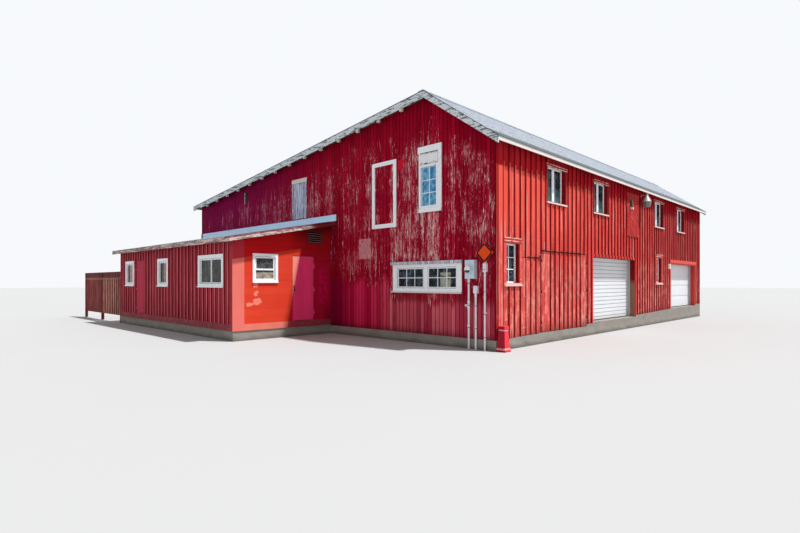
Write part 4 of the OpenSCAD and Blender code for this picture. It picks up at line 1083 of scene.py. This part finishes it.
# Hinged doors of the garage side: plank leaves clad with the wall's boards and battens, so that shut
# they almost vanish. The stile by the hinges stays plain, and pairs of bolts go through it at three
# heights.
bolt_paint = mottled("pale_bolts", (0.02, 0.02, 0.02), (236, 190, 168), (150, 74, 56), 0.0004, 0.6, 0.2)
leaf_paint = mottled("leaf_core", (0.04, 0.04, 0.5), (88, 8, 14), (128, 22, 26), 0.001)
dress(leaf_paint, "walk_door", "barn_door_left", "barn_door_right")
leaf_edge = 0.008
free_edge = 0.03
stile = 0.30
walk_stile = 0.20
bolt_r = 0.019
bolt_inset = 0.13
bolt_apart = 0.10
over_roof = 9.0
door_boards = side_paint("door_boards", over_roof, 0.85, [
    (walk_span[0], walk_span[0] + stile), (left_leaf_span[0], left_leaf_span[0] + stile),
    (right_leaf_span[1] - stile, right_leaf_span[1])])
door_battens = side_paint("door_battens", over_roof)


def clad_leaf(body, hinge_low, plain):
    """Siding and hinge bolts on one leaf, hinged at its nearer or its farther edge."""
    u0, u1, z0, z1 = garage_wall.span(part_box(body))
    u0, u1 = (u0 + barrel, u1) if hinge_low else (u0, u1 - barrel)
    low, high = level(z0 + leaf_edge), level(z1 - leaf_edge)
    plain_ends = (plain, free_edge) if hinge_low else (free_edge, plain)
    joints = [j for j in joints_along(0.0, barn_l) if u0 + plain_ends[0] < j < u1 - plain_ends[1] - batten_w]
    piece = Piece(body + "_siding")
    board_and_batten(piece, garage_wall, u0 + leaf_edge, u1 - leaf_edge, joints, low, high, (), 0.0,
                     (0.0095, 0.032))
    piece.make([door_boards, door_battens, shaded_side_paint], body)
    bolts = Piece(body + "_bolts")
    hexagon = [(math.cos(k * math.pi / 3) * bolt_r, math.sin(k * math.pi / 3) * bolt_r) for k in range(6)]
    spot = u0 + bolt_inset if hinge_low else u1 - bolt_inset
    for share in (0.10, 0.50, 0.90):
        for side in (-bolt_apart / 2, bolt_apart / 2):
            z = z0 + (z1 - z0) * share
            bolts.loft([[garage_wall.at(spot + side + r * c, z + s * r, out) for c, s in hexagon]
                        for out, r in ((0.008, 1.0), (0.016, 1.0), (0.019, 0.6))])
    bolts.make([bolt_paint], body)


clad_leaf("walk_door", True, walk_stile)
clad_leaf("barn_door_left", True, stile)
clad_leaf("barn_door_right", False, stile)
dress(bolt_paint, "hinge_pins")


# Meter and pipes on the gable: a pale blue steel box with a glass-fronted meter, fed by plastic pipe.
# A second short pipe ends in its own box, and a bare diamond sign stands on a third by the corner.
box_paint = p = Paint("pale_blue_steel", 0.42, 0.1)
shine = p.noise((0.15, 0.15, 0.15))
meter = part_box("meter_box")
box_tone = p.mix(shine, (190, 208, 224), (212, 226, 240))
# Painted highlight: the box is lighter along its top edge.
p.cover(p.mix(p.fade(p.z, meter[1].z - 0.012, meter[1].z) * 0.5, box_tone, (214, 222, 230)))
dress(box_paint, "meter_box")

pipe_paint = p = Paint("grey_plastic", 0.5)
pipe_tone = p.mix(p.noise((0.1, 0.1, 0.4)), (224, 208, 220), (250, 244, 248))
pipe_ring = p.maths("FRACT", p.z / 0.56 + p.each(p.x, 0.12, 4.0)) < 0.032
p.cover(p.mix(pipe_ring * 0.75, pipe_tone, (58, 50, 60)))
dress(pipe_paint, "conduits", "sign_post")
p = Paint("wall_fittings", 0.5)
fitting_cloud = p.noise((0.1, 0.1, 0.1))
outlet_end, outlet_foot = 11.0, 4.43
dark_part = (p.y < outlet_end) * (p.z > outlet_foot)
p.cover(p.mix(dark_part * 0.92, p.mix(fitting_cloud, (222, 220, 216), (238, 236, 232)), (26, 12, 12)))
dress(p, "wall_boxes")

dial_paint = Paint("meter_glass", 0.12)
dial_paint.cover(dial_paint.mix(dial_paint.fade(dial_paint.z, 1.985, 2.0), (70, 74, 72), (238, 240, 238)))


def turned(piece, centre, axis, profile, steps=24):
    """A turned solid from a profile of distances along its axis and radii."""
    axis = Vector(axis).normalized()
    across = axis.orthogonal().normalized()
    up = axis.cross(across)
    piece.loft([[Vector(centre) + axis * d + (across * math.cos(2 * math.pi * k / steps)
                                              + up * math.sin(2 * math.pi * k / steps)) * r
                 for k in range(steps)] for d, r in profile])


meter_x = (meter[0].x + meter[1].x) / 2
dial_z = (meter[0].z + meter[1].z) / 2
dial = Piece("meter_dial")
turned(dial, (meter_x, meter[0].y, dial_z), (0, -1, 0),
       [(-0.002, 0.090), (0.006, 0.090), (0.028, 0.072), (0.036, 0.040)])
dial.make([dial_paint])
collar = Piece("meter_collar")
turned(collar, (meter_x, meter[0].y + 0.080, dial_z), (0, -1, 0),
       [(0.0, 0.106), (0.014, 0.106), (0.018, 0.100)])
collar.make([box_paint])
pipe_out = -0.060
couplings = Piece("pipe_couplings")
for pipe_x, heights, radius in ((half_w - 0.767, (0.55, 1.00, 1.16, 1.70), 0.036),
                                (half_w - 0.551, (0.52, 1.33), 0.034)):
    for height in heights:
        turned(couplings, (pipe_x, pipe_out, height), (0, 0, 1),
               [(0.0, radius - 0.004), (0.006, radius), (0.060, radius), (0.066, radius - 0.004)])
for height in (0.70, 1.30, 1.84):
    turned(couplings, (half_w - 0.270, -0.070, height), (0, 0, 1),
           [(0.0, 0.027), (0.004, 0.031), (0.040, 0.031), (0.044, 0.027)])
couplings.make([pipe_paint])

p = Paint("orange_sheet", 0.35)
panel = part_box("sign_panel")
panel_mid = (panel[0] + panel[1]) / 2
half_panel = (panel[1].x - panel[0].x) / 2
off_x, off_z = abs(p.x - panel_mid.x), abs(p.z - panel_mid.z)
border = p.within(off_x + off_z, half_panel - 0.070, half_panel - 0.006)
border = border * (p.highest(off_x, off_z) < half_panel - 0.042)
p.cover(p.mix(border, p.mix(p.noise((0.2, 0.2, 0.2)), (224, 64, 14), (240, 84, 26)), (10, 8, 10)))
dress(p, "sign_panel")

p = Paint("bollard_red", 0.6)
scuff = p.noise((0.06, 0.06, 0.10), 5.0, 0.7)
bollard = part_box("corner_bollard")
to_front = (bollard[0].y + bollard[1].y) / 2 - p.y
shaded_front_face = to_front > abs(p.x - (bollard[0].x + bollard[1].x) / 2)
top_rim = p.band(p.z, 0.505, 0.515, 0.538, 0.548)
foot_rim = p.band(p.z, 0.045, 0.055, 0.09, 0.10)
# Painted shade: the face towards the front is darker than the others.
bollard_red = p.coats(
    p.mix(shaded_front_face * 0.9, p.mix(scuff, (206, 34, 52), (236, 78, 84)), (160, 12, 42)),
    ((top_rim + foot_rim) * p.fade(scuff, 0.35, 0.50) * 0.85, (244, 176, 176)),
    (p.fade(scuff, 0.60, 0.68) * 0.6, (206, 130, 128)))
p.cover(bollard_red, scuff, 0.001)
dress(p, "corner_bollard")


# Lamp over the barn doors: an iron arm with a cone shade, and a caged glass globe under it.
# The shade is spun from galvanized sheet. The cage is ten rods held by three hoops.
iron_paint = mottled("dark_iron", (0.03, 0.03, 0.03), (44, 44, 48), (86, 84, 86), None, 0.55, 0.4, 0.3)
p = Paint("galvanized_shade", 0.45, 0.3, 0.4)
lamp_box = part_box("barn_lamp")
shade_cloud = p.noise((0.08, 0.08, 0.08), 4.0)
glassy = p.fade(p.z, lamp_box[0].z + 0.205, lamp_box[0].z + 0.195)
shade_tone = p.mix(shade_cloud, (150, 150, 148), (198, 196, 190))
p.cover(p.mix(glassy * 0.8, shade_tone, (96, 92, 90)), shade_cloud, 0.001)
dress(p, "barn_lamp")
lamp_r = 0.16
lamp_head = (lamp_box[1].x - lamp_r, (lamp_box[0].y + lamp_box[1].y) / 2)
basket_low = lamp_box[0].z
basket_high = basket_low + 0.20
cage = Piece("lamp_cage")
cage_rods = 10
low_r, high_r = lamp_r * 0.62 + 0.004, lamp_r * 0.92 + 0.006
for k in range(cage_rods):
    turn = 2 * math.pi * k / cage_rods
    foot, crown = (Vector((lamp_head[0] + math.cos(turn) * r, lamp_head[1] + math.sin(turn) * r, z))
                   for r, z in ((low_r, basket_low), (high_r, basket_high)))
    turned(cage, foot, crown - foot, [(0, 0.004), ((crown - foot).length, 0.004)], 6)
steps = 24
for share in (0.02, 0.5, 0.96):
    radius = lamp_r * (0.62 + 0.30 * share) + 0.002
    height = basket_low + (basket_high - basket_low) * share
    for k in range(steps):
        ends = [[(lamp_head[0] + math.cos(turn) * r, lamp_head[1] + math.sin(turn) * r, height + h)
                 for r, h in ((radius, 0.0), (radius + 0.008, 0.0), (radius + 0.008, 0.007), (radius, 0.007))]
                for turn in (2 * math.pi * k / steps, 2 * math.pi * (k + 1) / steps)]
        cage.loft(ends)
cage.make([track_paint])


# Lean-to walls: boards and battens in front, level boards on the side by the door, all painted red.
# The side catches the sun and is orange red, with old paint showing pink where it has rubbed off. The shadows
# of the roof edge and the gable on it are painted crimson.
lean_side_x = lean_box[1].x
lean_front_y = lean_box[0].y
lean_sill = lean_box[0].z
lean_front = Wall((0, lean_front_y, 0), (1, 0, 0))
lean_side = Wall((lean_side_x, 0, 0), (0, 1, 0))
lean_first_joint = 0.12
front_corner_w = 0.17
beside_corner = 0.3
under_deck = 0.004
wall_points = [v.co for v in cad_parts["lean_to_side_wall"].data.vertices]
gable_end = max(wall_points, key=lambda q: q.z)
hair = 1e-4
wall_end = min(q.y for q in wall_points)
eave_end = max((q for q in wall_points if q.y < wall_end + hair), key=lambda q: q.z)
lean_slope = (gable_end.z - eave_end.z) / (gable_end.y - eave_end.y)


def lean_line(y):
    """The height of the lean-to's roof line, which the top of its side wall follows."""
    return gable_end.z + lean_slope * (y - gable_end.y)


lean_boards = p = Paint("lean_to_boards", 0.75)
lean_streak = p.noise((0.05, 0.05, 1.0), 4.0, 0.6)
lean_chance = p.each(p.x + far_left, side_pitch)
by_front_batten = p.from_middle(p.x + half_w - lean_first_joint - batten_w / 2, side_pitch)
# Painted shadow: a dark line beside each batten on the front.
front_batten_shadow = p.fade(by_front_batten, 0.290, 0.340) * (p.y < lean_front_y + 0.02)
lean_red = p.coats(
    p.mix(lean_chance, (134, 22, 38), (170, 44, 60)),
    (p.fade(lean_streak, 0.45, 0.70) * 0.6, (180, 64, 80)),
    (front_batten_shadow * 0.9, (52, 2, 12)),
    (p.fade(p.z + lean_streak * 0.3, 1.5, 0.55) * 0.4, (116, 18, 38)))
p.cover(lean_red, lean_streak, 0.001)
lean_battens = p = Paint("lean_to_battens", 0.75)
lean_streak = p.noise((0.05, 0.05, 0.9), 4.0, 0.6)
p.cover(p.mix(p.fade(lean_streak, 0.35, 0.65), (192, 76, 88), (226, 124, 130)), lean_streak, 0.001)

lean_front_siding = Piece("lean_to_front_boards")
frames = solids("lean_to_window_frames")
front_door = lean_front.span(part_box("lean_to_front_door"))
lean_front_holes = [lean_front.span(box) for box in frames if box[1].x < lean_side_x - beside_corner]
lean_front_holes.append((front_door[0] - barrel_clear, front_door[1] + side_gap, lean_sill - 0.01,
                         front_door[3] + 0.011))
lean_faces = (board_face, batten_face - 0.004)
lean_end = lean_side_x - front_corner_w
board_and_batten(lean_front_siding, lean_front, -half_w, lean_end,
                 joints_along(-half_w, lean_end, lean_first_joint, batten_w),
                 level(lean_sill), level(lean_line(lean_front_y) - under_deck), lean_front_holes,
                 faces=lean_faces, sides=(0, 2))
lean_front_siding.make([lean_boards, lean_battens, shaded_side_paint])

lean_left_siding = Piece("lean_to_left_boards")
board_and_batten(lean_left_siding, left_side, 0.03, -lean_front_y,
                 joints_along(0.0, -lean_front_y, lean_first_joint, front_corner_w),
                 level(lean_sill), lambda u: lean_line(-u) - under_deck, faces=lean_faces, sides=(0, 1))
lean_left_siding.make([lean_boards, lean_battens])


def roof_and_gable_shadow(p):
    """The shadow that the roof edge and the gable cast on the side wall, a mask for painted shadow."""
    bend_y, bend_z, soft = -1.199, 2.748, 0.010
    under_edge = p.fade(p.z - (p.y - bend_y) * 0.175, bend_z - soft, bend_z + soft)
    by_gable = p.fade(p.y + (bend_z - p.z) * 0.2057, bend_y - soft, bend_y + soft)
    return p.highest(under_edge, by_gable) * (p.x > lean_side_x - 0.1)


course_h = 0.21
lean_side_paint = p = Paint("lean_to_side_boards", 0.75, 0.0, 0.06)
side_cloud = p.noise((0.8, 0.8, 0.5), 4.0)
course = p.each(p.z - lean_sill, course_h)
# Painted shade under the rake, by the vent.
under_rake_shade = p.fade(p.z - lean_line(p.y), -0.50, -0.10) * p.fade(p.y, -1.7, -1.0)
shade_red = p.coats(
    p.mix(p.fade(p.z, 2.0, 2.9), (176, 4, 52), (158, 4, 22)),
    (p.fade(p.y, -1.0, -1.8), p.mix(side_cloud, (184, 8, 22), (206, 20, 32))),
    (under_rake_shade * 0.75, (80, 0, 6)))
blot = p.noise((0.16, 0.16, 0.12), 5.0, 0.65)
rubbed = -2.0
for y, z, wide, high in ((-2.79, 1.59, 0.10, 0.09), (-2.78, 1.37, 0.09, 0.09), (-2.74, 1.12, 0.15, 0.10),
                         (-2.98, 1.04, 0.15, 0.07)):
    across, up = (p.y - y) / wide, (p.z - z) / high
    rubbed = p.highest(rubbed, 1 - across * across - up * up)
rose_place = p.band(p.y, -0.58, -0.50, -0.2, -0.08) * p.band(p.z, 0.9, 1.1, 1.9, 2.3)
# Darker magenta low by the gable corner.
low_gable_corner = p.fade(p.y, -0.45, -0.05) * p.fade(p.z + blot, 1.7, 0.9)
orange_red = p.coats(
    p.mix(side_cloud, (212, 58, 36), (224, 76, 52)),
    (course * 0.35, (204, 50, 34)),
    # painted shadow of the roof edge and the gable
    (roof_and_gable_shadow(p) * 0.92, shade_red),
    (p.fade(rubbed + (blot - 0.5) * 3.2, 0.10, 0.35) * 0.85, (236, 138, 116)),
    (p.fade(blot + rose_place * 0.12, 0.58, 0.62) * rose_place * 0.9, (208, 10, 84)),
    (low_gable_corner * 0.7, (110, 4, 50)))
p.cover(orange_red, side_cloud, 0.001)


def courses(piece, wall, z0, z1, pitch, start, end, holes, inner, outer, gap=0.0018):
    """Level boards one over another, cut round holes and under a slope."""
    turned_holes = [(h[2], h[3], h[0], h[1]) for h in holes]
    for i in range(math.ceil((z1 - z0) / pitch)):
        low = z0 + i * pitch
        high = min(low + pitch - gap, z1)
        for a, b, left, right in lengths(low, high, start, end, turned_holes):
            face = outer + chance.uniform(-0.0004, 0.0004)
            foot, head = 0.002 * (a == low), 0.002 * (b == high)
            section = [(a, inner), (a, face - foot), (a + foot + hair, face), (b - head - hair, face),
                       (b, face - head), (b, inner)]
            piece.loft([[wall.at(edge(z), z, out) for z, out in section] for edge in (left, right)])


lean_side_siding = Piece("lean_to_side_boards")
side_door = lean_side.span(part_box("lean_to_side_door"))
corner = 0.34
lean_side_holes = [lean_side.span(box) for box in frames if box[1].x > lean_side_x - beside_corner]
lean_side_holes += [
    (side_door[0] - side_gap, side_door[1] + barrel_clear, lean_sill - 0.01, side_door[3] + 0.011),
    lean_side.span(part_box("lean_to_vent"))]
lean_start = lean_front_y + corner
courses(lean_side_siding, lean_side, lean_sill, gable_end.z - under_deck, course_h,
        lambda z: max(lean_start, gable_end.y + (z + under_deck - gable_end.z) / lean_slope), level(-0.03),
        lean_side_holes, inside, 0.020)
lean_side_siding.make([lean_side_paint])


# Lean-to roof: the same corrugated sheet as on the barn, laid from the eave up under the flashing.
# The solid below it stands for the rafters and boards that the sheets are nailed to.
lean_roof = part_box("lean_to_roof")
sheet_rise = 0.019
corrugated("lean_to_sheets", [(lean_roof[0].y - 0.02, -0.262)],
           lambda u, v, rise: (u, v, lean_roof[1].z + lean_slope * v + sheet_rise + rise),
           lean_roof[0].x - 0.020, lean_roof[1].x + 0.020)


# Lean-to trim: a wide corner board, a skirt over the foundation, peeling fascias and flashing with a painted
# sky reflection.
# The boards are nailed on flat, the flashing is folded sheet, and the vent is of wooden slats.
p = Paint("lean_to_trim", 0.7)
trim_cloud = p.noise((0.3, 0.3, 0.5), 4.0)
trim_chip = p.fade(p.noise((0.12, 0.12, 0.06), 5.0, 0.7), 0.60, 0.66)
on_side = p.x > lean_side_x + 0.004
side_tone = p.mix(trim_cloud, (220, 104, 92), (232, 124, 112))
# Painted shadow of the roof edge and the gable on the corner board.
side_tone = p.mix(roof_and_gable_shadow(p) * 0.9, side_tone, (184, 30, 56))
front_tone = p.mix(trim_cloud, (150, 30, 42), (180, 58, 66))
skirt = p.z < lean_sill
skirt_tone = p.mix(on_side, p.mix(trim_cloud, (112, 40, 50), (164, 76, 82)),
                   p.mix(trim_cloud, (214, 104, 88), (228, 134, 116)))
# Painted shadow of the roof edge and the gable on the skirt.
skirt_tone = p.mix(roof_and_gable_shadow(p) * 0.8, skirt_tone, (120, 14, 50))
trim_tone = p.coats(
    p.mix(on_side, front_tone, side_tone),
    (skirt * (p.y > lean_front_y + corner), skirt_tone),
    (skirt * (p.y < lean_front_y), skirt_tone),
    (trim_chip * skirt * 0.7, (176, 140, 130)))
p.cover(trim_tone, trim_cloud, 0.001)
dress(p, "lean_to_trim_boards")

p = Paint("peeling_fascia", 0.75)
fascia_flake = p.noise((0.55, 0.30, 0.05), 5.0, 0.7)
fascia_chip = p.fade(fascia_flake + p.fade(p.x, 1.0, -5.0) * 0.07, 0.50, 0.54)
fascia_grain = p.noise((0.3, 0.3, 0.02), 3.0, 0.7)
near_gable = p.fade(p.y, -1.15, -0.75) * (p.x > lean_side_x)
rake_low = p.z - lean_line(p.y)
upper_edge = (p.x > lean_side_x) * p.fade(rake_low + fascia_flake * 0.03, 0.060, 0.074)
fascia_tone = p.coats(
    p.mix(p.noise((0.3, 0.3, 0.3)), (196, 168, 164), (226, 206, 200)),
    (fascia_chip * 0.85, p.mix(fascia_grain, (84, 70, 70), (140, 112, 106))),
    (upper_edge * 0.7, (120, 34, 40)),
    (near_gable * 0.95, p.mix(fascia_chip, (104, 2, 14), (136, 20, 36))))
p.cover(fascia_tone, 1 - fascia_chip, 0.001)
dress(p, "lean_to_fascia")

p = Paint("flashing_metal", 0.4, 0.2, 0.4)
flashing_cloud = p.noise((0.7, 0.3, 0.2), 4.0)
sheet_length = 2.4
sheet_chance = p.each(p.x + far_left, sheet_length)
# Painted reflection: the flashing's light blue is the sky on the metal.
p.cover(p.mix(sheet_chance * 0.3, p.mix(flashing_cloud, (172, 208, 244), (212, 234, 252)), (176, 204, 236)),
        flashing_cloud, 0.002)
dress(p, "lean_to_flashing")

p = Paint("louvre_slats", 0.8)
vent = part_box("lean_to_vent")
slat_grain = p.noise((0.2, 0.2, 0.02))
slat_edge = p.x > lean_side_x + 0.045
vent_rim = 0.032
frame_zone = p.highest(p.y < vent[0].y + vent_rim, p.y > vent[1].y - vent_rim,
                       p.z < vent[0].z + vent_rim, p.z > vent[1].z - vent_rim)
# Painted shade: the slats are near black behind their front edges, which are lighter.
slat_tone = p.mix(slat_edge, (30, 14, 18), p.mix(slat_grain, (150, 92, 96), (200, 160, 158)))
p.cover(p.mix(frame_zone, slat_tone, p.mix(slat_grain, (92, 22, 26), (120, 40, 42))), slat_grain, 0.001)
dress(p, "lean_to_vent")


# Lean-to doors and sashes: leaves of three crimson planks on strap hinges, the side one with an iron
# latch. Dark joints set off the sashes, and the side window has an upper sash in front of the lower.
lean_door_paint = p = Paint("crimson_door", 0.62)
door_streak = p.noise((0.04, 0.04, 0.9), 4.0)
plank_w = 0.27
plank = p.each(p.y + 10, plank_w)
# Painted light and shade: pale coral where the side door is sunlit, pink-crimson in the shadow of the roof
# edge and the gable.
sunlit_door_edge = 1 - roof_and_gable_shadow(p)
front_crimson = p.mix(door_streak, (168, 24, 56), (190, 42, 72))
crimson_door = p.coats(
    p.mix(plank * 0.6, p.mix(door_streak, (236, 48, 108), (250, 74, 128)), (222, 40, 98)),
    (sunlit_door_edge * 0.95, (240, 146, 128)),
    (p.y < lean_front_y + 0.05, front_crimson))
p.cover(crimson_door, door_streak, 0.001)
dress(lean_door_paint, "lean_to_front_door", "lean_to_side_door")


def clad_plain(body, wall, hinge_low, planks):
    """Planks side by side on one leaf, clear of its hinge barrels."""
    u0, u1, z0, z1 = wall.span(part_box(body))
    u0, u1 = (u0 + barrel, u1) if hinge_low else (u0, u1 - barrel)
    piece = Piece(body + "_planks")
    boards_between(piece, wall, u0 + leaf_edge, u1 - leaf_edge, z0 + leaf_edge, z1 - leaf_edge,
                   (u1 - u0) / planks, 0.0, 0.0105, 0.003)
    piece.make([lean_door_paint], body)


clad_plain("lean_to_side_door", lean_side, False, 3)
clad_plain("lean_to_front_door", lean_front, True, 3)
meeting_rail = (2.045, 2.095)
top_rail = 0.012
sash_stile = 0.016
sash_depth = (-0.031, -0.008)
for box in solids("lean_to_glass"):
    wall = lean_side if box[0].x > lean_side_x - beside_corner else lean_front
    outline(sash_joints, wall, box, 0.041, 0.008, joint_out)
    if wall is lean_side:
        u0, u1, z0, z1 = wall.span(box)
        upper = Piece("double_hung_sash")
        for low, high in (meeting_rail, (z1 - top_rail, z1)):
            rail(upper, wall, u0, u1, low, high, *sash_depth)
        for low, high in ((u0, u0 + sash_stile), (u1 - sash_stile, u1)):
            board(upper, wall, low, high, meeting_rail[1], z1 - top_rail, *sash_depth)
        upper.make([window_white])
sash_joints.make([joint_paint])

latch = Piece("lean_to_side_latch")
board(latch, lean_side, side_door[0] + 0.035, side_door[0] + 0.075, 1.40, 1.58, 0.008, 0.016)
turned(latch, lean_side.at(side_door[0] + 0.055, 1.45, 0.014), (1, 0, 0),
       [(0, 0.012), (0.03, 0.012), (0.034, 0.026), (0.052, 0.026), (0.058, 0.018)], 16)
latch.make([iron_paint], "lean_to_side_door")


# Fence: red-brown stained boards and pickets between square posts, in line with the lean-to's front.
# The stain is old, every other picket has gone pale, and lichen grows along the top.
p = Paint("fence_stain", 0.8)
fence_grain = p.noise((0.03, 0.05, 0.6), 4.0)
fence_chance = p.each(p.x + 40, 0.12)
bay_low, bay_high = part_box("fence_picket_panel")
fence_face = bay_low.y
in_bay = p.within(p.x, bay_low.x, bay_high.x)
on_face = p.within(p.y, fence_face - skin, fence_face + skin)
other_picket = p.maths("FRACT", (p.x - bay_low.x - 0.025 + 4.8) / 0.24) < 0.5
pale_picket = in_bay * on_face * other_picket * p.fade(p.z, 1.88, 1.84)
lichen_spots = p.fade(p.noise((0.10, 0.05, 0.05), 4.0, 0.7), 0.48, 0.54)
lichen = p.band(p.z, 1.78, 1.84, 1.88, 1.93) * lichen_spots
top_board = p.fade(p.z, 1.86, 1.90)
fence_base = p.coats(
    p.mix(p.fade(fence_grain, 0.40, 0.60), (104, 34, 34), (176, 92, 84)),
    (fence_chance * 0.7, (84, 26, 30)),
    (p.fade(p.x, bay_high.x - 0.9, bay_high.x - 0.2) * in_bay * 0.6, (66, 40, 34)),
    (pale_picket * 0.85, p.mix(p.fade(fence_grain, 0.38, 0.62), (206, 120, 106), (240, 204, 186))),
    (in_bay * (1 - other_picket) * 0.5, (92, 8, 14)),
    # painted shade: every face but the front plane is darker
    ((1 - on_face) * 0.6, (70, 12, 16)),
    (lichen * 0.7, (196, 164, 156)),
    (top_board * 0.7, p.mix(fence_grain, (66, 24, 26), (110, 56, 52))))
p.cover(fence_base, fence_grain, 0.002)
dress(p, "fence_posts", "fence_board_panel", "fence_picket_panel")
